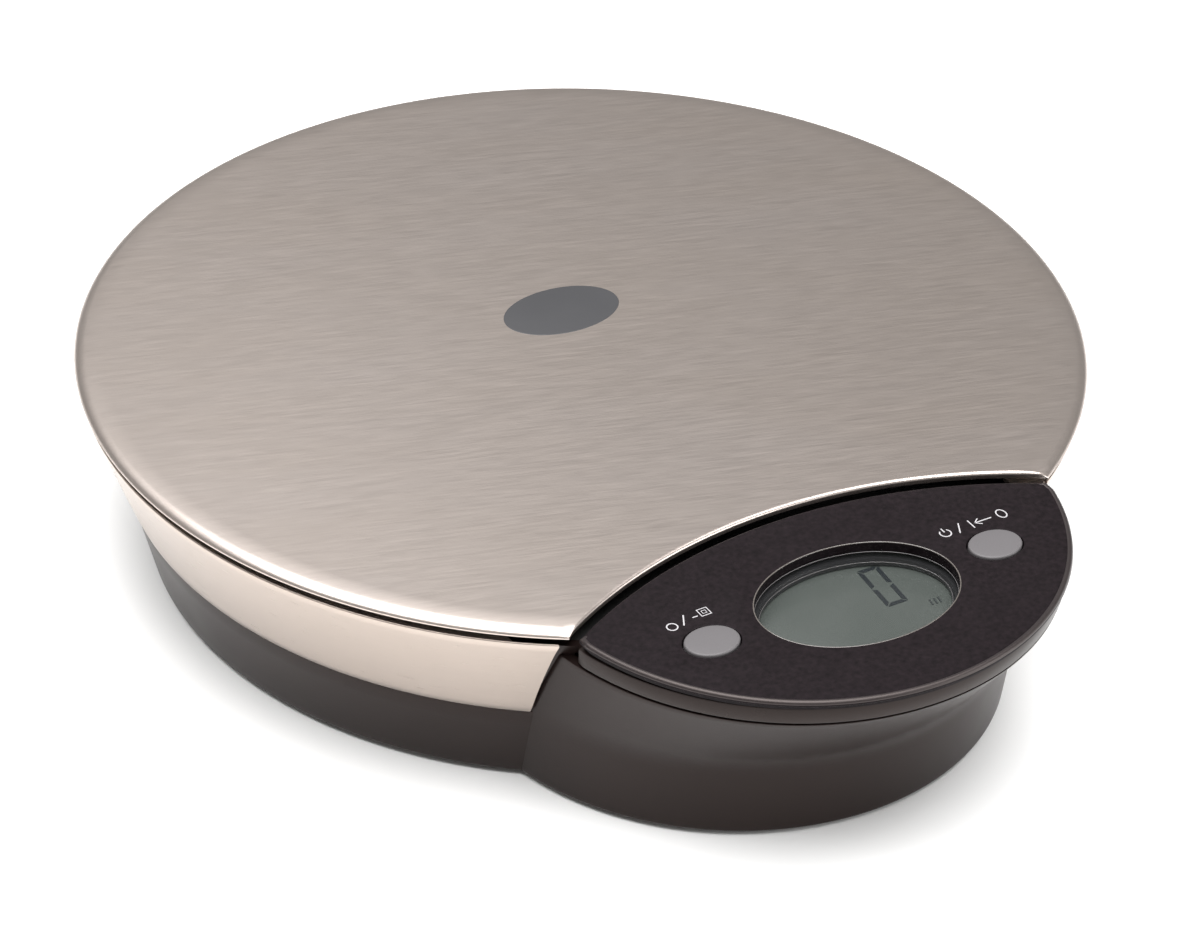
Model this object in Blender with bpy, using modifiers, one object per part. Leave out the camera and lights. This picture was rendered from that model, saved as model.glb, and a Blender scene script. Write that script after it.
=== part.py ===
"""An electronic kitchen scale: a round steel platter on a load cell, over a dark base with a display pod.

Metres, +Z up, -Y to the front. The frame's origin is under the middle of the scale, on the table.
"""

from math import acos, atan2, cos, pi, radians, sin, sqrt

import bmesh
import bpy
from mathutils import Vector

# The gap between touching pieces, how far a cutter runs past what it cuts, and how far joined shapes merge
GAP = 0.0003
BEYOND = 0.002
MERGE = 0.0004

# The whole scale. Plan positions (x, y) are from the platter's axis, heights are from the table.
HEIGHT = 0.0480
PLATTER_RADIUS = 0.1100
AXIS_Y = 0.01555

# The platter: steel sheet with its rim turned down, and an arc cut out in front for the pod
PLATTER_EDGE_Z = HEIGHT - 0.0024
PLATTER_SHEET = 0.0008
PLATTER_ROLL = 0.0014
CUT_OUT_CENTRE_Y = -0.1880
CUT_OUT_RADIUS = 0.1103

# The steel skirt and the base below it
SKIRT_TOP_Z = 0.0444
WAIST_Z = 0.0206
SKIRT_TOP_RADIUS = 0.1095
SKIRT_WAIST_RADIUS = 0.1010
SKIRT_SHEET = 0.0008
SKIRT_SEAT_GAP = 0.0004
SKIRT_CLEARANCE = 0.0005
FLANGE_Z = (0.0435, 0.0443)
FLANGE_INNER_RADIUS = 0.1007
FLANGE_BAY_X = (-0.0660, 0.0515)
BASE_BOTTOM_Z = 0.0010
BASE_WAIST_RADIUS = 0.1006
BASE_FOOT_RADIUS = 0.0958
BASE_CHAMFER = 0.0006
WALL = 0.0022
UPPER_WALL = 0.0020
FLOOR_Z = BASE_BOTTOM_Z + WALL
BOWL_RIM_Z = SKIRT_TOP_Z - 0.0012

# The pod in front: a leaning drum, given as a circle (centre y, radius) at three heights
POD_TOP_Z = 0.0404
POD_FOOT = (-0.0626, 0.0594)
POD_WAIST = (-0.0627, 0.0614)
POD_TOP = (-0.0813, 0.0581)
SEAT_FRONT_ROOM = 0.0006
SEAT_BACK_ROOM = 0.0004

# The panel on the pod: a lens between the pod's front arc and the platter's cut-out
FRAME_TOP_Z = 0.0446
FRAME_ARC = (-0.0816, 0.0580)
FRAME_WALL = 0.0020
PANEL_Z = (0.0449, 0.0470)
PANEL_ARC = (-0.0832, 0.0579)
PANEL_BACK_RADIUS = 0.1084
PANEL_HALF_WIDTH = 0.0560
PANEL_ROUND = 0.0009

# The display window and the two buttons
WINDOW_AT = (0.0, -0.1089)
WINDOW_SEMI = (0.0222, 0.0158)
WINDOW_CHAMFER = 0.0008
LENS_SEMI = (0.0236, 0.0172)
BEZEL_SEMI = (0.0210, 0.0146)
BEZEL_Z = (0.0420, 0.0434)
DISPLAY_SIZE = (0.049, 0.0320)
GLASS_Z = (0.0396, 0.0417)
HOLDER_RIM = 0.0022
BUTTON_X = 0.0337
BUTTON_Y = -0.1084
BUTTON_SEMI = (0.00587, 0.00470)
BUTTON_ROOM = 0.00035
BUTTON_TOP_Z = 0.0475
BUTTON_FLANGE_Z = (0.0436, 0.0445)
BUTTON_STEM_Z = 0.0426
BUTTON_TRAVEL = 0.0005

# The circuit board and what stands on it
BOARD_Z = (0.0360, 0.0376)
BOARD_ARC = (-0.0785, 0.0540)
BOARD_HALF_WIDTH = 0.0480
BOARD_BACK_Y = -0.0835
BOARD_SCREWS = ((0.042, -0.099), (0.034, -0.0890), (-0.042, -0.099), (-0.034, -0.0890))
BOARD_PILOT_Z = 0.0240
BOARD_SCREW_TIP_Z = 0.0280
SWITCH_SIDE = 0.0062
SWITCH_TOP_Z = 0.0415
SWITCH_WELL_Z = 0.0398

# The deck under the platter, its four pillars, and the bosses and screws below them
DECK_Z = (0.0384, 0.0400)
DECK_RADIUS = 0.1038
PILLARS = ((0.082, 0.020), (0.046, -0.066), (-0.082, 0.020), (-0.046, -0.066))
PILLAR_FOOT_Z = 0.0093
PILLAR_PILOT_Z = 0.0170
BOSS_ROOT_Z = 0.0028
BOSS_TOP_Z = 0.0090
HOUSING_SCREW_SEAT_Z = 0.0060
HOUSING_SCREW_FACE_Z = 0.0044
HOUSING_SCREW_TIP_Z = 0.0160

# The load cell: a beam along X, held to the base at -X and carrying the platter at +X
CELL_LENGTH = 0.080
CELL_SIDE = 0.0127
CELL_Z = (0.0098, 0.0098 + CELL_SIDE)
CELL_SCREW_X = (0.0200, 0.0350)
CELL_SCREW_RADIUS = 0.0021
CELL_HOLE_RADIUS = 0.0025
CELL_PAD_Z = 0.0062
CELL_PAD_HALF_WIDTH = 0.010
CELL_SCREW_SEAT_Z = 0.0033
LOWER_SCREW_TIP_Z = 0.0195
UPPER_SCREW_TIP_Z = 0.0130
SCREW_SLOT_DEPTH = 0.0008

# The carrier that bolts the platter to the load cell
CARRIER_RADIUS = 0.100
CARRIER_FRONT_ROOM = 0.007
CARRIER_Z = (0.0444, 0.0460)
CARRIER_RIB_Z = 0.0418
CARRIER_CUP = ((0.011, -0.011), (0.044, 0.011))
CARRIER_CUP_Z = 0.0271
CUP_FLOOR = 0.0030
CARRIER_RIBS = ((0, 0.082), (45, 0.070), (90, 0.070), (135, 0.070))

# The two AAA cells, lying along X in a pocket that opens downwards
BATTERY_RADIUS = 0.00525
BATTERY_LENGTH = 0.0445
BATTERY_Z = 0.0089
BATTERY_YS = (-0.0915, -0.1027)
POCKET = ((-0.026, -0.1087), (0.026, -0.0855))
POCKET_ROOF_Z = (0.0152, 0.0170)
POCKET_WALL = 0.0018
CONTACT_X = 0.0250
CONTACT_SHEET = 0.0006
LEAF_Z = (0.0050, 0.0128)
LEAF_HALF_WIDTH = 0.0042
TAB_HALF_WIDTH = 0.0018
TAB_TOP_Z = POCKET_ROOF_Z[1] + 0.0015

# The battery door, hinged along its back edge. The tongue has a half width, a front and a back
DOOR_HINGE_Y = -0.0856
DOOR_HINGE_Z = 0.0020
DOOR_HALF_WIDTH = 0.0270
DOOR_FRONT_Y = -0.1095
DOOR_THICKNESS = 0.0020
DOOR_ROOM = 0.0004
DOOR_RECESS_Z = 0.0033
TONGUE = (0.006, 0.0019, 0.0027)
TONGUE_TOP_Z = 0.0048
FINGER_NOTCH_RADIUS = 0.0060

FEET = ((0.040, -0.090), (0.060, 0.060), (-0.060, 0.060), (-0.040, -0.090))
FOOT_RADIUS = 0.0060
FOOT_TOP_Z = 0.0019

BIG_STEPS = 72
MIDDLE_STEPS = 24
SMALL_STEPS = 16
SCREW_STEPS = 12
WINDOW_STEPS = 48
BOARD_STEPS = 24

CHARCOAL = (0.030, 0.027, 0.026)
CONTACT_NICKEL = (0.72, 0.70, 0.66)


# ---------------------------------------------------------------- scene, materials and placing

def cleared_scene():
    for obj in list(bpy.data.objects):
        bpy.data.objects.remove(obj)


def new_collection(name, hidden=False):
    collection = bpy.data.collections.new(name)
    collection.hide_render = hidden
    bpy.context.scene.collection.children.link(collection)
    return collection


def platter_axis():
    empty = bpy.data.objects.new("platter_axis", None)
    empty.location = (0.0, AXIS_Y, 0.0)
    PARTS.objects.link(empty)
    return empty


def finish(obj, colour, roughness, metallic=0.0, alpha=1.0):
    """Gives a sub-part its own material."""
    material = bpy.data.materials.new(obj.name + "_finish")
    material.use_nodes = True
    shader = material.node_tree.nodes["Principled BSDF"]
    shader.inputs["Base Color"].default_value = (*colour, 1.0)
    shader.inputs["Roughness"].default_value = roughness
    shader.inputs["Metallic"].default_value = metallic
    shader.inputs["Alpha"].default_value = alpha
    obj.data.materials.append(material)
    if obj.type == "MESH":
        obj.data.shade_smooth()
        obj.data.set_sharp_from_angle(angle=radians(35))
    return obj


def placed(data, name, at=(0.0, 0.0, 0.0), tool=False):
    """Links an object under the platter's axis, as a sub-part or as a hidden tool."""
    obj = bpy.data.objects.new(name, data)
    obj.parent = AXIS
    obj.location = at
    if tool:
        obj.hide_render = True
        obj.display_type = "WIRE"
        TOOLS.objects.link(obj)
    else:
        PARTS.objects.link(obj)
    return obj


def mesh_from(bm, name):
    bmesh.ops.recalc_face_normals(bm, faces=bm.faces)
    mesh = bpy.data.meshes.new(name)
    bm.to_mesh(mesh)
    bm.free()
    return mesh


# ---------------------------------------------------------------- solids

def block(name, low, high, tool=False, origin=None):
    """A box between two corners, with its origin in its middle unless one is given."""
    low = Vector(low)
    high = Vector(high)
    middle = (low + high) / 2
    origin = middle if origin is None else Vector(origin)
    bm = bmesh.new()
    bmesh.ops.create_cube(bm, size=1.0)
    bmesh.ops.scale(bm, vec=high - low, verts=bm.verts)
    bmesh.ops.translate(bm, vec=middle - origin, verts=bm.verts)
    return placed(mesh_from(bm, name), name, origin, tool)


def rod(name, radius, start, end, steps=SMALL_STEPS, tool=False, end_radius=None):
    """A round bar between two points."""
    start = Vector(start)
    end = Vector(end)
    along = end - start
    end_radius = radius if end_radius is None else end_radius
    bm = bmesh.new()
    bmesh.ops.create_cone(
        bm, cap_ends=True, segments=steps, radius1=radius, radius2=end_radius, depth=along.length
    )
    obj = placed(mesh_from(bm, name), name, (start + end) / 2, tool)
    obj.rotation_mode = "QUATERNION"
    obj.rotation_quaternion = along.to_track_quat("Z", "Y")
    return obj


def turned(name, profile, at=(0.0, 0.0), steps=SMALL_STEPS, ring=False, tool=False):
    """A turned piece. The profile (radius, height) runs down the outer side, and a ring's closes on itself."""
    mesh = bpy.data.meshes.new(name)
    points = [(radius, 0.0, height) for radius, height in profile]
    edges = [(i, i + 1) for i in range(len(points) - 1)]
    if ring:
        edges.append((len(points) - 1, 0))
    mesh.from_pydata(points, edges, [])
    obj = placed(mesh, name, (*at, 0.0), tool)
    screw = obj.modifiers.new("turn", "SCREW")
    screw.steps = steps
    screw.render_steps = steps
    screw.use_merge_vertices = True
    screw.merge_threshold = 0.00001
    return obj


def lofted(name, loops, at=(0.0, 0.0, 0.0), tool=False):
    """A closed skin over loops of equal length, with flat ends."""
    bm = bmesh.new()
    rings = [[bm.verts.new(point) for point in loop] for loop in loops]
    for lower, upper in zip(rings, rings[1:]):
        for i in range(len(lower)):
            j = (i + 1) % len(lower)
            bm.faces.new((lower[i], lower[j], upper[j], upper[i]))
    bm.faces.new(rings[0])
    bm.faces.new(rings[-1])
    return placed(mesh_from(bm, name), name, at, tool)


def oval_loop(semi, height, steps):
    return [
        (semi[0] * cos(2 * pi * i / steps), semi[1] * sin(2 * pi * i / steps), height)
        for i in range(steps)
    ]


def oval_stack(name, at, sections, steps=32, tool=False):
    """An oval piece from (height, (semi x, semi y)) sections, lowest first."""
    loops = [oval_loop(semi, height, steps) for height, semi in sections]
    return lofted(name, loops, (*at, 0.0), tool)


def leaning_drum(name, sections, tool=False):
    """A round drum from (height, centre y, radius) sections, lowest first."""
    loops = [
        [(x, y + centre, z) for x, y, z in oval_loop((radius, radius), height, BIG_STEPS)]
        for height, centre, radius in sections
    ]
    return lofted(name, loops, tool=tool)


def plate(name, outline, low, high, tool=False):
    """A flat piece with an outline in plan: a filled 2D curve, turned into a mesh."""
    curve = bpy.data.curves.new(name + "_outline", "CURVE")
    curve.dimensions = "2D"
    curve.fill_mode = "BOTH"
    curve.extrude = (high - low) / 2
    spline = curve.splines.new("POLY")
    spline.points.add(len(outline) - 1)
    for point, (x, y) in zip(spline.points, outline):
        point.co = (x, y, 0.0, 1.0)
    spline.use_cyclic_u = True
    drawn = placed(curve, name + "_outline", (0.0, 0.0, (low + high) / 2), tool=True)
    graph = bpy.context.evaluated_depsgraph_get()
    mesh = bpy.data.meshes.new_from_object(drawn.evaluated_get(graph))
    bpy.data.objects.remove(drawn)
    bm = bmesh.new()
    bm.from_mesh(mesh)
    bmesh.ops.remove_doubles(bm, verts=bm.verts, dist=0.000001)
    bmesh.ops.dissolve_limit(bm, angle_limit=0.001, verts=bm.verts, edges=bm.edges)
    return placed(mesh_from(bm, name), name, (0.0, 0.0, (low + high) / 2), tool)


def wire(name, route, radius):
    """A lead along a smooth curve through its route's points."""
    curve = bpy.data.curves.new(name, "CURVE")
    curve.dimensions = "3D"
    curve.bevel_depth = radius
    curve.bevel_resolution = 2
    curve.use_fill_caps = True
    points = smooth_route([Vector(point) for point in route])
    spline = curve.splines.new("POLY")
    spline.points.add(len(points) - 1)
    for point, place in zip(spline.points, points):
        point.co = (*place, 1.0)
    return placed(curve, name)


def smooth_route(points, pieces=4):
    """Points along a Catmull-Rom curve."""
    padded = [2 * points[0] - points[1], *points, 2 * points[-1] - points[-2]]
    route = []
    for a, b, c, d in zip(padded, padded[1:], padded[2:], padded[3:]):
        for i in range(pieces):
            t = i / pieces
            steady = 2 * b + (c - a) * t
            bend = (2 * a - 5 * b + 4 * c - d) * t**2
            twist = (3 * b - a - 3 * c + d) * t**3
            route.append((steady + bend + twist) / 2)
    route.append(points[-1])
    return route


# ---------------------------------------------------------------- cutting and joining

def boolean(target, operation, tools):
    for tool in tools:
        modifier = target.modifiers.new(operation.lower() + "_" + tool.name, "BOOLEAN")
        modifier.operation = operation
        modifier.solver = "EXACT"
        modifier.object = tool
    return target


def cut(target, *tools):
    return boolean(target, "DIFFERENCE", tools)


def fused(target, *tools):
    return boolean(target, "UNION", tools)


def rounded(obj, width, segments=2, angle=40):
    bevel = obj.modifiers.new("round", "BEVEL")
    bevel.width = width
    bevel.segments = segments
    bevel.limit_method = "ANGLE"
    bevel.angle_limit = radians(angle)
    return obj


def hole(name, radius, at, low, high, steps=SMALL_STEPS):
    return rod(name, radius, (*at, low), (*at, high), steps, tool=True)


# ---------------------------------------------------------------- outlines in plan

def arc(centre_y, radius, start, end, steps):
    """Points on a circle centred on the Y axis, from one angle to another."""
    return [
        (
            radius * cos(start + (end - start) * i / steps),
            centre_y + radius * sin(start + (end - start) * i / steps),
        )
        for i in range(steps + 1)
    ]


def circles_meet(centre_a, radius_a, centre_b, radius_b):
    """Where two circles centred on the Y axis cross, on the +X side."""
    span = centre_b - centre_a
    along = (span**2 + radius_a**2 - radius_b**2) / (2 * span)
    return sqrt(radius_a**2 - along**2), centre_a + along


def angle_at(centre_y, x, y):
    return atan2(y - centre_y, x)


def notched_disc(radius, cut_radius, steps=BIG_STEPS):
    """A disc round the platter's axis, less the pod's arc in front."""
    x, y = circles_meet(0.0, radius, CUT_OUT_CENTRE_Y, cut_radius)
    right = angle_at(0.0, x, y)
    outer = arc(0.0, radius, right, pi - right, steps)
    cut_right = angle_at(CUT_OUT_CENTRE_Y, x, y)
    inner = arc(CUT_OUT_CENTRE_Y, cut_radius, pi - cut_right, cut_right, steps // 3)
    return outer[:-1] + inner[:-1]


def lens(front, back_radius, half_width=None, steps=36):
    """The pod's outline: its front arc, the cut-out arc behind, and the tips cut straight if asked."""
    centre, radius = front
    x, y = circles_meet(centre, radius, CUT_OUT_CENTRE_Y, back_radius)
    if half_width is None or half_width >= x:
        front_angle = angle_at(centre, x, y)
        back_angle = angle_at(CUT_OUT_CENTRE_Y, x, y)
        shared = 1
    else:
        front_angle = -acos(half_width / radius)
        back_angle = acos(half_width / back_radius)
        shared = 0
    front_points = arc(centre, radius, -pi - front_angle, front_angle, steps)
    back_points = arc(CUT_OUT_CENTRE_Y, back_radius, back_angle, pi - back_angle, steps // 2)
    return front_points[shared:] + back_points[shared:]


# ---------------------------------------------------------------- the housing

def skirt_radius(height):
    share = (height - WAIST_Z) / (SKIRT_TOP_Z - WAIST_Z)
    return SKIRT_WAIST_RADIUS + share * (SKIRT_TOP_RADIUS - SKIRT_WAIST_RADIUS)


def pod_section(height, inset=0.0):
    """The pod's circle at a height: steep below the waist, leaning forward above it."""
    if height <= WAIST_Z:
        low, high, share = POD_FOOT, POD_WAIST, (height - BASE_BOTTOM_Z) / (WAIST_Z - BASE_BOTTOM_Z)
    else:
        low, high, share = POD_WAIST, POD_TOP, (height - WAIST_Z) / (POD_TOP_Z - WAIST_Z)
    centre = low[0] + share * (high[0] - low[0])
    radius = low[1] + share * (high[1] - low[1])
    return height, centre, radius - inset


def bowl_outside():
    """The outside of the round base as drum sections, with a ledge for the skirt at the waist."""
    inset = SKIRT_SHEET + SKIRT_SEAT_GAP
    return [
        (BASE_BOTTOM_Z, 0.0, BASE_FOOT_RADIUS - BASE_CHAMFER),
        (BASE_BOTTOM_Z + BASE_CHAMFER, 0.0, BASE_FOOT_RADIUS),
        (WAIST_Z, 0.0, BASE_WAIST_RADIUS),
        (WAIST_Z, 0.0, skirt_radius(WAIST_Z) - inset),
        (BOWL_RIM_Z, 0.0, skirt_radius(BOWL_RIM_Z) - inset),
    ]


def bowl_inside():
    inset = SKIRT_SHEET + SKIRT_SEAT_GAP + UPPER_WALL
    above = SKIRT_TOP_Z + BEYOND
    return [
        (FLOOR_Z, 0.0, BASE_FOOT_RADIUS - WALL),
        (WAIST_Z, 0.0, skirt_radius(WAIST_Z) - inset),
        (above, 0.0, skirt_radius(above) - inset),
    ]


def pod_outside(name):
    low = pod_section(BASE_BOTTOM_Z, BASE_CHAMFER)
    heights = (BASE_BOTTOM_Z + BASE_CHAMFER, WAIST_Z, POD_TOP_Z)
    return leaning_drum(name, [low] + [pod_section(height) for height in heights], tool=True)


def pod_inside(name):
    heights = (FLOOR_Z, WAIST_Z, POD_TOP_Z + 0.4 * BEYOND)
    return leaning_drum(name, [pod_section(height, WALL) for height in heights], tool=True)


def base_housing():
    """The lower shell: the round bowl and the pod as one moulding, with its bosses, pocket and screw holes."""
    base = leaning_drum("base_housing", bowl_outside())
    fused(base, pod_outside("pod_outside"))
    seat_front = (POD_TOP[0], POD_TOP[1] + SEAT_FRONT_ROOM)
    seat = lens(seat_front, PANEL_BACK_RADIUS + SEAT_BACK_ROOM)
    cut(
        base,
        leaning_drum("bowl_inside", bowl_inside(), tool=True),
        pod_inside("pod_inside"),
        plate("panel_seat", seat, POD_TOP_Z, SKIRT_TOP_Z + BEYOND, tool=True),
    )
    base_bosses(base)
    battery_pocket(base)
    for i, at in enumerate(FEET):
        recess_radius = FOOT_RADIUS + GAP
        cut(base, hole(f"foot_recess_{i + 1}", recess_radius, at, 0.0, FOOT_TOP_Z + GAP, MIDDLE_STEPS))
    return finish(base, CHARCOAL, 0.42)


def base_bosses(base):
    """Short bosses for the housing screws, posts for the circuit board and a pad for the load cell."""
    for i, at in enumerate(PILLARS):
        fused(base, hole(f"screw_boss_{i + 1}", 0.0050, at, BOSS_ROOT_Z, BOSS_TOP_Z))
        cut(
            base,
            hole(f"screw_well_{i + 1}", 0.0034, at, 0.0, HOUSING_SCREW_SEAT_Z + GAP),
            hole(f"screw_way_{i + 1}", 0.0019, at, HOUSING_SCREW_SEAT_Z, BOSS_TOP_Z + BEYOND),
        )
    for i, at in enumerate(BOARD_SCREWS):
        fused(base, hole(f"board_post_{i + 1}", 0.0032, at, BOSS_ROOT_Z, BOARD_Z[0] - GAP))
        cut(base, hole(f"board_pilot_{i + 1}", 0.0014, at, BOARD_PILOT_Z, BOARD_Z[0] + BEYOND))
    left = -CELL_LENGTH / 2 - 0.003
    half = CELL_PAD_HALF_WIDTH
    fused(base, block("cell_pad", (left, -half, BOSS_ROOT_Z), (-half, half, CELL_PAD_Z), tool=True))
    for i, x in enumerate(CELL_SCREW_X):
        at = (-x, 0.0)
        cut(
            base,
            hole(f"cell_well_{i + 1}", 0.0040, at, 0.0, CELL_SCREW_SEAT_Z + GAP),
            hole(f"cell_way_{i + 1}", CELL_HOLE_RADIUS, at, CELL_SCREW_SEAT_Z - GAP, CELL_PAD_Z + BEYOND),
        )


def battery_pocket(base):
    """The walled battery pocket, open downwards, with a recess for its door and slots for the contacts."""
    (left, front), (right, back) = POCKET
    side = POCKET_WALL + 2 * CONTACT_SHEET
    walls_low = (left - side, front - POCKET_WALL, BOSS_ROOT_Z)
    walls_high = (right + side, back + POCKET_WALL, POCKET_ROOF_Z[1])
    fused(base, block("pocket_walls", walls_low, walls_high, tool=True))
    half_width = DOOR_HALF_WIDTH + DOOR_ROOM
    recess_low = (-half_width, DOOR_FRONT_Y - DOOR_ROOM, 0.0)
    recess_high = (half_width, DOOR_HINGE_Y + DOOR_THICKNESS / 2 + GAP, DOOR_RECESS_Z)
    notch_low = (0.0, DOOR_FRONT_Y, 0.0)
    notch_high = (0.0, DOOR_FRONT_Y, DOOR_HINGE_Z)
    cut(
        base,
        block("pocket_space", (left, front, 0.0), (right, back, POCKET_ROOF_Z[0]), tool=True),
        block("door_recess", recess_low, recess_high, tool=True),
        rod("finger_notch", FINGER_NOTCH_RADIUS, notch_low, notch_high, tool=True),
    )
    slot_x = CONTACT_X + CONTACT_SHEET / 2
    half_x = CONTACT_SHEET / 2 + 0.0004
    half_y = TAB_HALF_WIDTH + 2 * GAP
    past = BEYOND / 2
    for i, y in enumerate(BATTERY_YS):
        low = (slot_x - half_x, y - half_y, POCKET_ROOF_Z[0] - past)
        high = (slot_x + half_x, y + half_y, POCKET_ROOF_Z[1] + past)
        cut(base, block(f"contact_slot_{i + 1}", low, high, tool=True))


def skirt_ring():
    """The steel band round the base: a plain cone, open for the pod, with a flange turned in at the top."""
    low = WAIST_Z + GAP
    edge = SKIRT_SHEET / 2
    profile = [
        (skirt_radius(SKIRT_TOP_Z) - edge, SKIRT_TOP_Z),
        (skirt_radius(SKIRT_TOP_Z - edge), SKIRT_TOP_Z - edge),
        (skirt_radius(low), low),
        (skirt_radius(low) - SKIRT_SHEET, low),
        (skirt_radius(SKIRT_TOP_Z) - SKIRT_SHEET, SKIRT_TOP_Z),
    ]
    skirt = turned("skirt_ring", profile, steps=BIG_STEPS, ring=True)
    waist = (POD_WAIST[0], POD_WAIST[1] + SKIRT_CLEARANCE)
    top = (POD_TOP[0], POD_TOP[1] + SKIRT_CLEARANCE)
    sections = [
        (WAIST_Z - BEYOND, *waist),
        (WAIST_Z, *waist),
        (POD_TOP_Z, *top),
        (SKIRT_TOP_Z + BEYOND, *top),
    ]
    cut(skirt, leaning_drum("skirt_gap", sections, tool=True))
    fused(skirt, skirt_flange())
    return finish(skirt, (0.62, 0.58, 0.53), 0.30, 1.0)


def skirt_flange():
    """The flat ring inside the skirt's top edge, cut back in front to clear the panel and the display."""
    low, high = FLANGE_Z
    outline = notched_disc(SKIRT_TOP_RADIUS - SKIRT_SHEET / 2, PANEL_BACK_RADIUS + SKIRT_CLEARANCE)
    flange = plate("skirt_flange", outline, low, high, tool=True)
    middle = hole("flange_middle", FLANGE_INNER_RADIUS, (0.0, 0.0), low - BEYOND, high + BEYOND, BIG_STEPS)
    left, right = FLANGE_BAY_X
    bay = block(
        "flange_bay",
        (left, -SKIRT_TOP_RADIUS, low - BEYOND),
        (right, -SKIRT_TOP_RADIUS / 2, high + BEYOND),
        tool=True,
    )
    return cut(flange, middle, bay)


def deck_cover():
    """The upper shell under the platter, on four pillars, with a window for the load cell's carrier."""
    outline = notched_disc(DECK_RADIUS, PANEL_BACK_RADIUS + SKIRT_CLEARANCE)
    deck = plate("deck_cover", outline, *DECK_Z)
    for i, at in enumerate(PILLARS):
        fused(deck, hole(f"pillar_{i + 1}", 0.0040, at, PILLAR_FOOT_Z, DECK_Z[0] + MERGE))
        cut(deck, hole(f"pillar_pilot_{i + 1}", 0.0018, at, PILLAR_FOOT_Z - BEYOND, PILLAR_PILOT_Z))
    (left, front), (right, back) = CARRIER_CUP
    room = 0.004
    window = block(
        "carrier_window",
        (left - room, front - room, DECK_Z[0] - BEYOND),
        (right + room, back + room, DECK_Z[1] + BEYOND),
        tool=True,
    )
    cut(deck, window)
    return finish(deck, (0.035, 0.033, 0.032), 0.55)


def housing_screws():
    head, shank = 0.0029, 0.0015
    seat = HOUSING_SCREW_SEAT_Z + GAP / 3
    face = HOUSING_SCREW_FACE_Z
    tip = HOUSING_SCREW_TIP_Z
    for i, at in enumerate(PILLARS):
        profile = [
            (0.0, tip),
            (shank * 0.5, tip),
            (shank, tip - 0.0015),
            (shank, seat),
            (head, seat),
            (head, face + 0.0006),
            (head - 0.0007, face),
            (0.0, face),
        ]
        screw = turned(f"housing_screw_{i + 1}", profile, at, SCREW_STEPS)
        driven(screw, at, face, 0.0026)
        finish(screw, (0.50, 0.50, 0.48), 0.35, 1.0)


def driven(screw, at, face_z, side):
    """Cuts a cross slot into a screw's head."""
    x, y = at
    low = face_z - SCREW_SLOT_DEPTH
    high = face_z + SCREW_SLOT_DEPTH
    width = side * 0.14
    half = side / 2
    along = block(screw.name + "_slot_x", (x - half, y - width, low), (x + half, y + width, high), tool=True)
    across = block(screw.name + "_slot_y", (x - width, y - half, low), (x + width, y + half, high), tool=True)
    cut(screw, along, across)


def feet():
    chamfer = 0.0006
    for i, at in enumerate(FEET):
        profile = [
            (0.0, FOOT_TOP_Z),
            (FOOT_RADIUS, FOOT_TOP_Z),
            (FOOT_RADIUS, chamfer),
            (FOOT_RADIUS - chamfer, 0.0),
            (0.0, 0.0),
        ]
        finish(turned(f"foot_{i + 1}", profile, at, MIDDLE_STEPS), (0.020, 0.020, 0.020), 0.85)


# ---------------------------------------------------------------- the platter and the load cell

def platter():
    """The steel platter: flat, with its edge rolled down, and hollow underneath."""
    tray = plate("platter", notched_disc(PLATTER_RADIUS, CUT_OUT_RADIUS), PLATTER_EDGE_Z, HEIGHT)
    round_top(tray, HEIGHT, PLATTER_ROLL)
    inner = notched_disc(PLATTER_RADIUS - PLATTER_SHEET, CUT_OUT_RADIUS + PLATTER_SHEET)
    hollow = plate("platter_hollow", inner, PLATTER_EDGE_Z - BEYOND, HEIGHT - PLATTER_SHEET, tool=True)
    round_top(hollow, HEIGHT - PLATTER_SHEET, PLATTER_ROLL - PLATTER_SHEET / 2)
    cut(tray, hollow)
    return finish(tray, (0.56, 0.52, 0.48), 0.33, 1.0)


def round_top(obj, height, width, segments=2):
    """Rounds the edges that lie in the top plane, through their bevel weights."""
    mesh = obj.data
    top = height - obj.location.z - 0.00001
    weights = mesh.attributes.new("bevel_weight_edge", "FLOAT", "EDGE")
    for edge in mesh.edges:
        ends = [mesh.vertices[i].co for i in edge.vertices]
        in_top = all(end.z > top for end in ends)
        weights.data[edge.index].value = 1.0 if in_top else 0.0
    bevel = obj.modifiers.new("round", "BEVEL")
    bevel.limit_method = "WEIGHT"
    bevel.width = width
    bevel.segments = segments


def platter_carrier():
    """The ribbed plastic carrier under the platter, with a cup that reaches down to the load cell."""
    outline = notched_disc(CARRIER_RADIUS, CUT_OUT_RADIUS + CARRIER_FRONT_ROOM)
    carrier = plate("platter_carrier", outline, *CARRIER_Z)
    for i, (angle, reach) in enumerate(CARRIER_RIBS):
        carrier_rib(carrier, i + 1, radians(angle), reach)
    (left, front), (right, back) = CARRIER_CUP
    wall = 0.0022
    top = CARRIER_Z[0] + MERGE
    fused(carrier, block("cup_outside", (left, front, CARRIER_CUP_Z), (right, back, top), tool=True))
    cut(
        carrier,
        block(
            "cup_inside",
            (left + wall, front + wall, CARRIER_CUP_Z + CUP_FLOOR),
            (right - wall, back - wall, CARRIER_Z[1] + BEYOND),
            tool=True,
        ),
    )
    for i, x in enumerate(CELL_SCREW_X):
        low = CARRIER_CUP_Z - BEYOND
        high = CARRIER_CUP_Z + CUP_FLOOR + BEYOND
        cut(carrier, hole(f"carrier_way_{i + 1}", CELL_HOLE_RADIUS, (x, 0.0), low, high))
    return finish(carrier, (0.040, 0.040, 0.040), 0.55)


def carrier_rib(carrier, number, angle, reach):
    half = 0.0010
    rib = block(
        f"carrier_rib_{number}",
        (-reach, -half, CARRIER_RIB_Z),
        (reach, half, CARRIER_Z[0] + MERGE),
        tool=True,
    )
    rib.rotation_euler.z = angle
    fused(carrier, rib)


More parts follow.
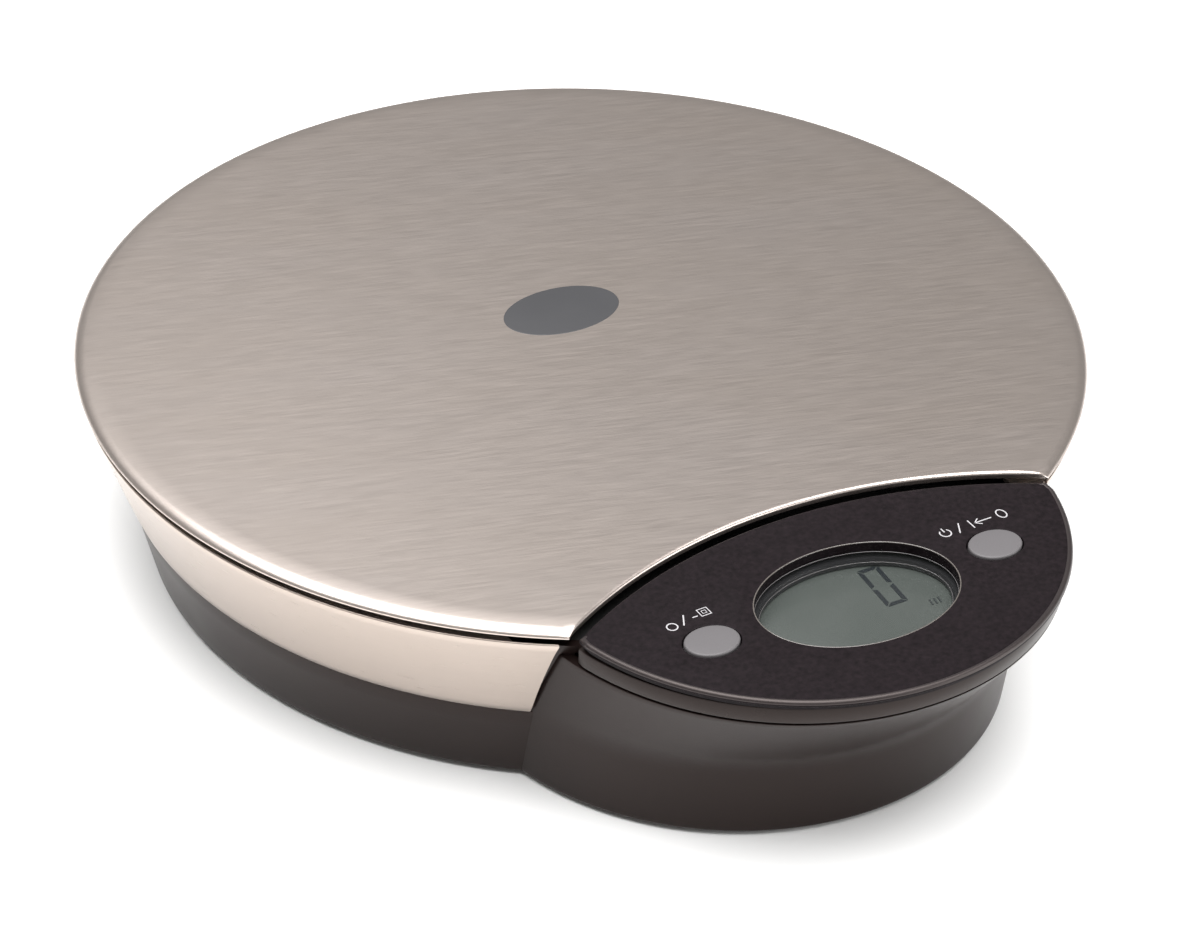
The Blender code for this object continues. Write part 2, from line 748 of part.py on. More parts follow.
def platter_pads():
    """The adhesive foam pads that hold the platter to its carrier."""
    low = CARRIER_Z[1] + GAP
    high = HEIGHT - PLATTER_SHEET - GAP
    reach, radius = 0.062, 0.011
    for i in range(4):
        angle = radians(45 + 90 * i)
        at = (reach * cos(angle), reach * sin(angle))
        pad = rod(f"platter_pad_{i + 1}", radius, (*at, low), (*at, high), MIDDLE_STEPS)
        finish(pad, (0.75, 0.74, 0.70), 0.9)


def load_cell():
    """The aluminium beam, thinned by two joined cross holes where its gauges sit."""
    half = CELL_LENGTH / 2
    side = CELL_SIDE / 2
    beam = block("load_cell", (-half, -side, CELL_Z[0]), (half, side, CELL_Z[1]))
    middle = (CELL_Z[0] + CELL_Z[1]) / 2
    reach = side + BEYOND
    hole_x, hole_radius, slot_half = 0.0085, 0.0051, 0.0022
    for i, x in enumerate((-hole_x, hole_x)):
        cut(beam, rod(f"gauge_hole_{i + 1}", hole_radius, (x, -reach, middle), (x, reach, middle), tool=True))
    slot_low = (-hole_x, -reach, middle - slot_half)
    slot_high = (hole_x, reach, middle + slot_half)
    cut(beam, block("gauge_slot", slot_low, slot_high, tool=True))
    low = CELL_Z[0] - BEYOND
    high = CELL_Z[1] + BEYOND
    for side_name, sign in (("fixed", -1), ("free", 1)):
        for i, x in enumerate(CELL_SCREW_X):
            cut(beam, hole(f"{side_name}_way_{i + 1}", CELL_HOLE_RADIUS, (sign * x, 0.0), low, high))
    return finish(beam, (0.77, 0.77, 0.78), 0.35, 1.0)


def gauge_cover():
    """The white silicone over the strain gauges, on top of the beam."""
    low = CELL_Z[1] + GAP
    half_x, half_y, height = 0.0125, 0.0058, 0.0014
    cover = block("gauge_cover", (-half_x, -half_y, low), (half_x, half_y, low + height))
    rounded(cover, 0.0006)
    return finish(cover, (0.86, 0.86, 0.84), 0.6)


def cell_spacers():
    """The steel packing blocks below the fixed end and above the free end."""
    half = CELL_LENGTH / 2
    inner, half_width = 0.0145, 0.0063
    blocks = (
        ("cell_foot_block", -half, -inner, CELL_PAD_Z + GAP, CELL_Z[0] - GAP, -1),
        ("cell_head_block", inner, half, CELL_Z[1] + GAP, CARRIER_CUP_Z - GAP, 1),
    )
    for name, left, right, low, high, sign in blocks:
        packing = block(name, (left, -half_width, low), (right, half_width, high))
        for i, x in enumerate(CELL_SCREW_X):
            at = (sign * x, 0.0)
            cut(packing, hole(f"{name}_way_{i + 1}", CELL_HOLE_RADIUS, at, low - BEYOND, high + BEYOND))
        finish(packing, (0.60, 0.60, 0.58), 0.35, 1.0)


def cell_screws():
    """Two screws up through the base and two down through the carrier."""
    head, edge, side = 0.0035, 0.0006, 0.0036
    thick = 0.0020
    seat = CELL_SCREW_SEAT_Z
    face = CARRIER_CUP_Z + CUP_FLOOR + GAP
    for i, x in enumerate(CELL_SCREW_X):
        lower = [
            (0.0, LOWER_SCREW_TIP_Z),
            (CELL_SCREW_RADIUS, LOWER_SCREW_TIP_Z),
            (CELL_SCREW_RADIUS, seat),
            (head, seat),
            (head, seat - thick + edge),
            (head - edge, seat - thick),
            (0.0, seat - thick),
        ]
        at = (-x, 0.0)
        screw = turned(f"base_cell_screw_{i + 1}", lower, at, SCREW_STEPS)
        driven(screw, at, seat - thick, side)
        finish(screw, (0.55, 0.55, 0.53), 0.3, 1.0)
        upper = [
            (0.0, face + thick),
            (head - edge, face + thick),
            (head, face + thick - edge),
            (head, face),
            (CELL_SCREW_RADIUS, face),
            (CELL_SCREW_RADIUS, UPPER_SCREW_TIP_Z),
            (0.0, UPPER_SCREW_TIP_Z),
        ]
        at = (x, 0.0)
        screw = turned(f"carrier_cell_screw_{i + 1}", upper, at, SCREW_STEPS)
        driven(screw, at, face + thick, side)
        finish(screw, (0.55, 0.55, 0.53), 0.3, 1.0)


# ---------------------------------------------------------------- the panel, its display and its buttons

def panel_frame():
    """The side band under the panel: a lens-shaped wall that stands on the pod's rim."""
    low = POD_TOP_Z + GAP
    frame = plate("panel_frame", lens(FRAME_ARC, PANEL_BACK_RADIUS, PANEL_HALF_WIDTH), low, FRAME_TOP_Z)
    wall = FRAME_WALL
    inner = lens((FRAME_ARC[0], FRAME_ARC[1] - wall), PANEL_BACK_RADIUS - wall, PANEL_HALF_WIDTH - wall)
    cut(frame, plate("frame_hollow", inner, low - BEYOND, FRAME_TOP_Z + BEYOND, tool=True))
    return finish(frame, (0.050, 0.047, 0.044), 0.40)


def control_panel():
    """The black top of the pod, with an oval display window and two oval button holes."""
    panel = plate("control_panel", lens(PANEL_ARC, PANEL_BACK_RADIUS, PANEL_HALF_WIDTH), *PANEL_Z)
    round_top(panel, PANEL_Z[1], PANEL_ROUND)
    low = PANEL_Z[0] - BEYOND / 2
    top = PANEL_Z[1]
    wide = (WINDOW_SEMI[0] + WINDOW_CHAMFER, WINDOW_SEMI[1] + WINDOW_CHAMFER)
    wider = (wide[0] + WINDOW_CHAMFER, wide[1] + WINDOW_CHAMFER)
    sections = [
        (low, WINDOW_SEMI),
        (top - WINDOW_CHAMFER, WINDOW_SEMI),
        (top, wide),
        (top + WINDOW_CHAMFER, wider),
    ]
    cut(panel, oval_stack("window", WINDOW_AT, sections, WINDOW_STEPS, tool=True))
    semi = (BUTTON_SEMI[0] + BUTTON_ROOM, BUTTON_SEMI[1] + BUTTON_ROOM)
    sections = [(low, semi), (top + BEYOND / 2, semi)]
    for name, sign in (("units", -1), ("tare", 1)):
        cut(panel, oval_stack(name + "_button_hole", (sign * BUTTON_X, BUTTON_Y), sections, tool=True))
    return finish(panel, (0.028, 0.027, 0.028), 0.5)


def lens_window():
    sections = [(BEZEL_Z[1] + GAP, LENS_SEMI), (FRAME_TOP_Z, LENS_SEMI)]
    clear = oval_stack("display_lens", WINDOW_AT, sections, WINDOW_STEPS)
    return finish(clear, (0.75, 0.80, 0.78), 0.05, alpha=0.25)


def display_bezel():
    """The black oval mask between the lens and the display."""
    low, high = BEZEL_Z
    bezel = oval_stack("display_bezel", WINDOW_AT, [(low, LENS_SEMI), (high, LENS_SEMI)], WINDOW_STEPS)
    opening = [(low - BEYOND / 2, BEZEL_SEMI), (high + BEYOND / 2, BEZEL_SEMI)]
    cut(bezel, oval_stack("bezel_opening", WINDOW_AT, opening, WINDOW_STEPS, tool=True))
    return finish(bezel, (0.012, 0.012, 0.012), 0.5)


def display_stack():
    """The liquid crystal glass, the holder round it and the two rubber connectors below it."""
    x, y = WINDOW_AT
    half_x = DISPLAY_SIZE[0] / 2
    half_y = DISPLAY_SIZE[1] / 2
    low, high = GLASS_Z
    glass = block("display_glass", (x - half_x, y - half_y, low), (x + half_x, y + half_y, high))
    finish(glass, (0.30, 0.36, 0.31), 0.15)
    board_top = BOARD_Z[1] + GAP
    inner_x = half_x + GAP
    inner_y = half_y + GAP
    outer_x = inner_x + HOLDER_RIM
    outer_y = inner_y + HOLDER_RIM
    holder_low = (x - outer_x, y - outer_y, board_top)
    holder_high = (x + outer_x, y + outer_y, high - GAP / 3)
    holder = block("display_holder", holder_low, holder_high)
    space_low = (x - inner_x, y - inner_y, board_top - BEYOND / 2)
    space_high = (x + inner_x, y + inner_y, high + BEYOND / 2)
    cut(holder, block("holder_space", space_low, space_high, tool=True))
    finish(holder, (0.72, 0.72, 0.70), 0.5)
    strip_x, strip_y = 0.0215, 0.0010
    for name, row in (("front", -1), ("back", 1)):
        middle = y + row * (half_y - 0.0022)
        strip_low = (x - strip_x, middle - strip_y, board_top)
        strip_high = (x + strip_x, middle + strip_y, low - GAP)
        finish(block("connector_strip_" + name, strip_low, strip_high), (0.45, 0.42, 0.40), 0.7)


def circuit_board():
    """The board across the pod, rounded in front like the pod itself."""
    centre, radius = BOARD_ARC
    half_width = BOARD_HALF_WIDTH
    angle = -acos(half_width / radius)
    outline = arc(centre, radius, -pi - angle, angle, BOARD_STEPS)
    outline += [(half_width, BOARD_BACK_Y), (-half_width, BOARD_BACK_Y)]
    board = plate("circuit_board", outline, *BOARD_Z)
    low = BOARD_Z[0] - BEYOND / 2
    high = BOARD_Z[1] + BEYOND / 2
    for i, at in enumerate(BOARD_SCREWS):
        cut(board, hole(f"board_way_{i + 1}", 0.0016, at, low, high))
    finish(board, (0.05, 0.20, 0.09), 0.4)


def controller_chip():
    """The blob of resin over the controller, under the board."""
    top = BOARD_Z[0] - GAP
    profile = [
        (0.0, top),
        (0.0062, top),
        (0.0056, top - 0.0008),
        (0.0034, top - 0.0014),
        (0.0, top - 0.0016),
    ]
    finish(turned("controller_chip", profile, (0.0, -0.1000)), (0.012, 0.012, 0.012), 0.25)


def board_screws():
    head, edge, shank, thick = 0.0023, 0.0005, 0.0011, 0.0014
    face = BOARD_Z[1] + GAP
    tip = BOARD_SCREW_TIP_Z
    for i, at in enumerate(BOARD_SCREWS):
        profile = [
            (0.0, face + thick),
            (head - edge, face + thick),
            (head, face + thick - edge),
            (head, face),
            (shank, face),
            (shank, tip + 0.0010),
            (0.0, tip),
        ]
        screw = turned(f"board_screw_{i + 1}", profile, at, SCREW_STEPS)
        driven(screw, at, face + thick, 0.0024)
        finish(screw, (0.60, 0.59, 0.55), 0.3, 1.0)


def button(name, sign):
    """An oval key with a flange that holds it under the panel and a stem down to its switch."""
    spread, edge = 0.0013, 0.0004
    flange = (BUTTON_SEMI[0] + spread, BUTTON_SEMI[1] + spread)
    crown = (BUTTON_SEMI[0] - edge, BUTTON_SEMI[1] - edge)
    stem = (0.0018, 0.0018)
    flange_low, flange_high = BUTTON_FLANGE_Z
    sections = [
        (BUTTON_STEM_Z, stem),
        (flange_low, stem),
        (flange_low, flange),
        (flange_high, flange),
        (flange_high, BUTTON_SEMI),
        (BUTTON_TOP_Z - edge, BUTTON_SEMI),
        (BUTTON_TOP_Z, crown),
    ]
    key = oval_stack(name + "_button", (sign * BUTTON_X, BUTTON_Y), sections)
    return finish(key, (0.36, 0.35, 0.36), 0.45)


def switch(name, sign):
    """A push switch on the board: a square case, and a round plunger that the button presses."""
    at = (sign * BUTTON_X, BUTTON_Y)
    half = SWITCH_SIDE / 2
    low = (at[0] - half, at[1] - half, BOARD_Z[1] + GAP)
    case = block(name + "_switch", low, (at[0] + half, at[1] + half, SWITCH_TOP_Z))
    cut(case, hole(name + "_switch_well", 0.0021, at, SWITCH_WELL_Z, SWITCH_TOP_Z + BEYOND))
    finish(case, (0.40, 0.40, 0.40), 0.35, 0.6)
    foot = SWITCH_WELL_Z + GAP + BUTTON_TRAVEL
    plunger = rod(name + "_plunger", 0.0017, (*at, foot), (*at, BUTTON_STEM_Z - GAP))
    finish(plunger, (0.02, 0.02, 0.02), 0.4)


# ---------------------------------------------------------------- power and wiring

def batteries():
    """Two AAA cells, laid opposite ways."""
    half = BATTERY_LENGTH / 2
    nub, nub_radius, edge = 0.0008, 0.0019, 0.0004
    for i, (y, sign) in enumerate(zip(BATTERY_YS, (1, -1))):
        profile = [
            (0.0, half),
            (nub_radius, half),
            (nub_radius, half - nub),
            (BATTERY_RADIUS - edge, half - nub),
            (BATTERY_RADIUS, half - nub - edge),
            (BATTERY_RADIUS, -half + edge),
            (BATTERY_RADIUS - edge, -half),
            (0.0, -half),
        ]
        cell = turned(f"battery_{i + 1}", profile, steps=MIDDLE_STEPS)
        cell.location = (0.0, y, BATTERY_Z)
        cell.rotation_euler.y = sign * pi / 2
        finish(cell, (0.10, 0.22, 0.12), 0.35, 0.2)


def battery_contacts():
    """One plate that bridges the cells at -X, two with solder tabs at +X, and a spring for each cell."""
    near, far = BATTERY_YS
    low, high = LEAF_Z
    half = LEAF_HALF_WIDTH
    outer_x = CONTACT_X + CONTACT_SHEET
    bridge = block("bridge_contact", (-outer_x, far - half, low), (-CONTACT_X, near + half, high))
    finish(bridge, CONTACT_NICKEL, 0.25, 1.0)
    for name, y in (("positive_contact", near), ("negative_contact", far)):
        leaf = block(name, (CONTACT_X, y - half, low), (outer_x, y + half, high))
        tab_low = (CONTACT_X, y - TAB_HALF_WIDTH, high - 0.0008)
        tab_high = (outer_x, y + TAB_HALF_WIDTH, TAB_TOP_Z)
        fused(leaf, block(name + "_tab", tab_low, tab_high, tool=True))
        finish(leaf, CONTACT_NICKEL, 0.25, 1.0)
    springs = (("contact_spring_1", near, -1), ("contact_spring_2", far, 1))
    for name, y, sign in springs:
        start = (sign * (CONTACT_X - GAP), y, BATTERY_Z)
        end = (sign * (BATTERY_LENGTH / 2 + GAP), y, BATTERY_Z)
        spring = rod(name, 0.0036, start, end, end_radius=0.0022)
        finish(spring, CONTACT_NICKEL, 0.25, 1.0)


def battery_door():
    """The door, with a round hinge knuckle along its back edge and a snap tongue in front."""
    hinge = (0.0, DOOR_HINGE_Y, DOOR_HINGE_Z)
    half = DOOR_THICKNESS / 2
    door = block(
        "battery_door",
        (-DOOR_HALF_WIDTH, DOOR_FRONT_Y, DOOR_HINGE_Z - half),
        (DOOR_HALF_WIDTH, DOOR_HINGE_Y, DOOR_HINGE_Z + half),
        origin=hinge,
    )
    knuckle_x = DOOR_HALF_WIDTH - 0.0005
    ends = [(side * knuckle_x, DOOR_HINGE_Y, DOOR_HINGE_Z) for side in (-1, 1)]
    knuckle = rod("door_knuckle", half, *ends, tool=True)
    half_width, front, back = TONGUE
    tongue = block(
        "door_tongue",
        (-half_width, DOOR_FRONT_Y + front, DOOR_HINGE_Z),
        (half_width, DOOR_FRONT_Y + back, TONGUE_TOP_Z),
        tool=True,
    )
    fused(door, knuckle, tongue)
    return finish(door, CHARCOAL, 0.42)


def wiring():
    """The load cell's cable and the two battery leads, up to the board's underside."""
    board_z = BOARD_Z[0] - GAP
    middle = (CELL_Z[0] + CELL_Z[1]) / 2
    cable = [
        (0.0, -CELL_SIDE / 2 - GAP, middle),
        (-0.001, -0.016, 0.0145),
        (-0.006, -0.034, 0.0080),
        (-0.014, -0.054, 0.0070),
        (-0.021, -0.070, 0.0110),
        (-0.024, -0.080, 0.0200),
        (-0.024, -0.0855, 0.0290),
        (-0.024, -0.0870, board_z),
    ]
    finish(wire("load_cell_cable", cable, 0.0012), (0.80, 0.80, 0.78), 0.6)
    tab_x = CONTACT_X + CONTACT_SHEET / 2
    tab_z = TAB_TOP_Z + GAP
    leads = (
        ("positive_lead", BATTERY_YS[0], -0.0950, (0.55, 0.03, 0.02)),
        ("negative_lead", BATTERY_YS[1], -0.1060, (0.02, 0.02, 0.02)),
    )
    for name, y, board_y, colour in leads:
        route = [
            (tab_x, y, tab_z),
            (tab_x + 0.001, y, tab_z + 0.004),
            (tab_x - 0.004, (y + board_y) / 2, 0.0265),
            (tab_x - 0.006, board_y, 0.0320),
            (tab_x - 0.006, board_y, board_z),
        ]
        finish(wire(name, route, 0.0007), colour, 0.5)


def build():
    base_housing()
    skirt_ring()
    deck_cover()
    housing_screws()
    feet()
    platter()
    platter_carrier()
    platter_pads()
    load_cell()
    gauge_cover()
    cell_spacers()
    cell_screws()
    panel_frame()
    control_panel()
    lens_window()
    display_bezel()
    display_stack()
    circuit_board()
    controller_chip()
    board_screws()
    for name, sign in (("units", -1), ("tare", 1)):
        button(name, sign)
        switch(name, sign)
    batteries()
    battery_contacts()
    battery_door()
    wiring()


cleared_scene()
PARTS = new_collection("kitchen_scale")
TOOLS = new_collection("cutters", hidden=True)
AXIS = platter_axis()
build()
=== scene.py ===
"""Looks for an electronic kitchen scale: a brushed steel platter and skirt over a dark moulded base.

Metres, +Z up, -Y to the front. Heights are from the table, and plan positions are from the platter's axis.
"""

from math import acos, atan2, cos, pi, radians, sin, sqrt

import bmesh
import bpy
from mathutils import Matrix, Vector


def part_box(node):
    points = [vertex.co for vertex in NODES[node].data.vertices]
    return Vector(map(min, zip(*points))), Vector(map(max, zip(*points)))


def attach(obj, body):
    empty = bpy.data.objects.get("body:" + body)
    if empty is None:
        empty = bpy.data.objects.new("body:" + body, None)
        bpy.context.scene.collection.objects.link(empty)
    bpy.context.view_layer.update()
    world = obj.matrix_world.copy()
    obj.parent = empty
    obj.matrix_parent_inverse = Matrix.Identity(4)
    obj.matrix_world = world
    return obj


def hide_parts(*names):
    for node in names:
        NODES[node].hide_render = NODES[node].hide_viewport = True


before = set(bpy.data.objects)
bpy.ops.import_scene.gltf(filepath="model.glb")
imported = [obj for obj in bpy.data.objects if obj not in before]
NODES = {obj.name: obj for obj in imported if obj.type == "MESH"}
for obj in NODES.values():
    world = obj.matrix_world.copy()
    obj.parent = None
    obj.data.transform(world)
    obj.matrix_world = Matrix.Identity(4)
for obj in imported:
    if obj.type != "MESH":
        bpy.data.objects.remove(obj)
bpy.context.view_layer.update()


def z_range(node):
    """The heights of a CAD node's lowest and highest points."""
    low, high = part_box(node)
    return low.z, high.z


# ---------------- driving dimensions

GAP = 0.0003

# The platter, from the frame
PLATTER_EDGE_Z, HEIGHT = z_range("platter")
PLATTER_RADIUS = 0.1100
AXIS_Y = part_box("platter")[1].y - PLATTER_RADIUS
PLATTER_SHEET = 0.0008
PLATTER_ROLL = (0.0024, 0.0012)
PLATTER_FOLD = (0.0008, 0.0007)
CROWN_WIDTH = 0.0062
CROWN_DROP = 0.00044
PLATTER_LIP_RISE = 0.0008
CUT_OUT_CENTRE_Y = -0.1880
CUT_OUT_RADIUS = 0.1103

# The skirt and the base
SKIRT_TOP_Z = z_range("skirt_ring")[1]
WAIST_Z = 0.0206
SKIRT_TOP_RADIUS = 0.1095
SKIRT_WAIST_RADIUS = 0.1010
SKIRT_SHEET = 0.0008
SKIRT_CLEARANCE = (0.0007, 0.0016)
FLANGE_Z = (0.0435, 0.0443)
FLANGE_INNER_RADIUS = 0.1007
FLANGE_BAY_X = (-0.0660, 0.0515)
BASE_BOTTOM_Z = z_range("base_housing")[0]
BASE_WAIST_RADIUS = 0.1006
BASE_FOOT_RADIUS = 0.0958
WALL = 0.0022
FLOOR_Z = BASE_BOTTOM_Z + WALL
BOWL_INSET = SKIRT_SHEET + 0.0004
BOWL_WALL = 0.0020
ROOTED_Z = 0.0028

# The pod, as a circle (centre y, radius) at three heights
POD_TOP_Z = 0.0404
POD_FOOT = (-0.0626, 0.0594)
POD_WAIST = (-0.0627, 0.0614)
POD_TOP = (-0.0813, 0.0581)
POD_BLEND = 0.0030

# The panel
FRAME_TOP_Z = z_range("panel_frame")[1]
FRAME_ARC = (-0.0816, 0.0580)
PANEL_Z = z_range("control_panel")
PANEL_ARC = (-0.0832, 0.0579)
PANEL_BACK_RADIUS = 0.1084
PANEL_HALF_WIDTH = 0.0560
PANEL_ROUND = 0.0009
PANEL_UNDERCUT = 0.0008
WINDOW_AT = (0.0, -0.1089)
WINDOW_SEMI = (0.0222, 0.0158)
WINDOW_ROUND = 0.0003
LENS_SEMI = (0.0236, 0.0172)
BEZEL_SEMI = (0.0210, 0.0146)
BUTTON_X = 0.0337
BUTTON_Y = -0.1084
BUTTON_SEMI = (0.00587, 0.00470)
BUTTON_ROOM = 0.0003
BUTTON_TOP_Z = z_range("tare_button")[1]
PRINT_WIDTH = 0.00028

# Below: feet, screws, the battery pocket and its door
FEET = ((0.040, -0.090), (0.060, 0.060), (-0.060, 0.060), (-0.040, -0.090))
FOOT_RADIUS = 0.0060
PILLARS = ((0.082, 0.020), (0.046, -0.066), (-0.082, 0.020), (-0.046, -0.066))
BOARD_SCREWS = ((0.042, -0.099), (0.034, -0.0890), (-0.042, -0.099), (-0.034, -0.0890))
BOARD_Z = (0.0360, 0.0376)
CELL_LENGTH = 0.080
CELL_SCREW_X = (0.0200, 0.0350)
POCKET = ((-0.026, -0.1087), (0.026, -0.0855))
POCKET_ROOF_Z = (0.0152, 0.0170)
BATTERY_RADIUS = 0.00525
BATTERY_LENGTH = 0.0445
BATTERY_Z = 0.0089
BATTERY_YS = (-0.0915, -0.1027)
CONTACT_X = 0.0250
CONTACT_SHEET = 0.0006
DOOR_HINGE_Y = -0.0856
DOOR_HINGE_Z = 0.0020
DOOR_HALF_WIDTH = 0.0270
DOOR_FRONT_Y = -0.1095
DOOR_THICKNESS = 0.0020

ROUND_STEPS = 256
POD_STEPS = 192
LENS_STEPS = 128
OVAL_STEPS = 96
SMALL_STEPS = 48
SCREW_STEPS = 32


# ---------------- meshes and placing

def mesh_from(bm, name):
    bmesh.ops.recalc_face_normals(bm, faces=bm.faces)
    mesh = bpy.data.meshes.new(name)
    bm.to_mesh(mesh)
    bm.free()
    return mesh


def new_object(name, mesh, at=(0.0, 0.0, 0.0)):
    """An object in the row frame, at a place given from the platter's axis."""
    obj = bpy.data.objects.new(name, mesh)
    obj.location = (at[0], at[1] + AXIS_Y, at[2])
    bpy.context.scene.collection.objects.link(obj)
    return obj


def smooth(obj, angle=32):
    obj.data.shade_smooth()
    obj.data.set_sharp_from_angle(angle=radians(angle))
    return obj


def applied(obj):
    """Bakes the object's modifiers into its mesh."""
    graph = bpy.context.evaluated_depsgraph_get()
    mesh = bpy.data.meshes.new_from_object(obj.evaluated_get(graph))
    obj.modifiers.clear()
    obj.data = mesh


def finished(obj, slot, material, *replaces, body="base"):
    """Gives a piece its material and lets it ride on its body, standing for CAD nodes if any. Its slot is
    not used.
    """
    obj.data.materials.clear()
    obj.data.materials.append(material)
    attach(obj, body)
    if replaces:
        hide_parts(*replaces)


def skin(name, loops, at=(0.0, 0.0, 0.0), ring=False):
    """A closed skin over loops of equal length: capped flat at both ends, or closed on itself as a ring."""
    bm = bmesh.new()
    rings = [[bm.verts.new(point) for point in loop] for loop in loops]
    pairs = list(zip(rings, rings[1:]))
    if ring:
        pairs.append((rings[-1], rings[0]))
    for lower, upper in pairs:
        for i in range(len(lower)):
            j = (i + 1) % len(lower)
            bm.faces.new((lower[i], lower[j], upper[j], upper[i]))
    if not ring:
        bm.faces.new(rings[0])
        bm.faces.new(rings[-1])
    return new_object(name, mesh_from(bm, name), at)


def full_turn(steps):
    return [2 * pi * i / steps for i in range(steps)]


def quarter(steps):
    """(across, down) along a unit quarter circle, from a side over to a top face."""
    turns = [pi / 2 * i / steps for i in range(steps + 1)]
    return [(1 - cos(a), 1 - sin(a)) for a in turns]


def grown(semi, by):
    """An oval's semi-axes, both made longer by the same amount."""
    return semi[0] + by, semi[1] + by


def oval_loop(semi, height, steps):
    return [(semi[0] * cos(a), semi[1] * sin(a), height) for a in full_turn(steps)]


def oval_stack(name, at, sections, steps=OVAL_STEPS, ring=False):
    """An oval piece from (height, (semi x, semi y)) sections."""
    return skin(name, [oval_loop(semi, height, steps) for height, semi in sections], (*at, 0.0), ring)


def drum(name, sections, steps=ROUND_STEPS):
    """A round drum from (height, centre y, radius) sections, lowest first."""
    loops = [
        [(x, y + centre, z) for x, y, z in oval_loop((radius, radius), height, steps)]
        for height, centre, radius in sections
    ]
    return skin(name, loops)


def turned(name, profile, at=(0.0, 0.0), steps=SMALL_STEPS, ring=False):
    """A turned piece from (radius, height) points; one that isn't a ring ends in flat faces."""
    return oval_stack(name, at, [(height, (radius, radius)) for radius, height in profile], steps, ring)


def rod(name, radius, start, end, steps=SMALL_STEPS):
    start = Vector(start)
    end = Vector(end)
    along = end - start
    size = {"segments": steps, "radius1": radius, "radius2": radius, "depth": along.length}
    turn = along.to_track_quat("Z", "Y").to_matrix().to_4x4()
    bm = bmesh.new()
    bmesh.ops.create_cone(bm, cap_ends=True, **size)
    bmesh.ops.transform(bm, matrix=Matrix.Translation((start + end) / 2) @ turn, verts=bm.verts)
    return new_object(name, mesh_from(bm, name))


def block(name, low, high, edge=0.0):
    """A box between two corners, with its edges rounded if asked."""
    low = Vector(low)
    high = Vector(high)
    bm = bmesh.new()
    bmesh.ops.create_cube(bm, size=1.0)
    bmesh.ops.scale(bm, vec=high - low, verts=bm.verts)
    bmesh.ops.translate(bm, vec=(low + high) / 2, verts=bm.verts)
    if edge:
        bmesh.ops.bevel(bm, geom=bm.edges, offset=edge, segments=3, profile=0.5, affect="EDGES")
    return new_object(name, mesh_from(bm, name))


def plate(name, outline, low, high):
    """A flat piece with an outline in plan."""
    return skin(name, [[(x, y, z) for x, y in outline] for z in (low, high)])


def joined(name, objects):
    """One object holding the meshes of several, which are removed."""
    bm = bmesh.new()
    for obj in objects:
        applied(obj)
        start = len(bm.verts)
        bm.from_mesh(obj.data)
        bm.verts.ensure_lookup_table()
        shift = obj.matrix_basis.translation - Vector((0.0, AXIS_Y, 0.0))
        bmesh.ops.translate(bm, vec=shift, verts=bm.verts[start:])
        bpy.data.objects.remove(obj)
    mesh = bpy.data.meshes.new(name)
    bm.to_mesh(mesh)
    bm.free()
    return new_object(name, mesh)


def boolean(target, operation, tools):
    """Cuts tools out of a target or fuses them to it, one by one, and removes them."""
    for tool in tools:
        modifier = target.modifiers.new(operation.lower(), "BOOLEAN")
        modifier.operation = operation
        modifier.solver = "EXACT"
        modifier.object = tool
        applied(target)
        bpy.data.objects.remove(tool)


def cut(target, *tools):
    boolean(target, "DIFFERENCE", tools)


def fused(target, *tools):
    boolean(target, "UNION", tools)


def hole(name, radius, at, low, high, steps=SMALL_STEPS):
    return rod(name, radius, (*at, low), (*at, high), steps)


# ---------------- outlines in plan

def arc(centre_y, radius, start, end, steps):
    turns = [start + (end - start) * i / steps for i in range(steps + 1)]
    return [(radius * cos(a), centre_y + radius * sin(a)) for a in turns]


def notched_disc(radius, cut_radius):
    """A disc round the platter's axis, less the pod's arc in front."""
    y = (CUT_OUT_CENTRE_Y**2 + radius**2 - cut_radius**2) / (2 * CUT_OUT_CENTRE_Y)
    x = sqrt(radius**2 - y**2)
    right = atan2(y, x)
    cut_right = atan2(y - CUT_OUT_CENTRE_Y, x)
    outer = arc(0.0, radius, right, pi - right, ROUND_STEPS)
    inner = arc(CUT_OUT_CENTRE_Y, cut_radius, pi - cut_right, cut_right, ROUND_STEPS // 3)
    return outer[:-1] + inner[:-1]


def lens(front, back_radius, half_width):
    """The panel's outline: a front arc, the platter's cut-out arc behind, and the tips cut straight."""
    centre, radius = front
    front_angle = -acos(half_width / radius)
    back_angle = acos(half_width / back_radius)
    front_points = arc(centre, radius, -pi - front_angle, front_angle, LENS_STEPS)
    back_points = arc(CUT_OUT_CENTRE_Y, back_radius, back_angle, pi - back_angle, LENS_STEPS // 2)
    return front_points + back_points


def lens_loop(front, inset, height):
    """The panel's outline with a front arc, drawn in by an inset, at a height."""
    centre, radius = front
    outline = lens((centre, radius - inset), PANEL_BACK_RADIUS - inset, PANEL_HALF_WIDTH - inset)
    return [(x, y, height) for x, y in outline]


# ---------------- node materials

NOISE_RANGE = (0.2, 0.8)
WHITE = (1.0, 1.0, 1.0)


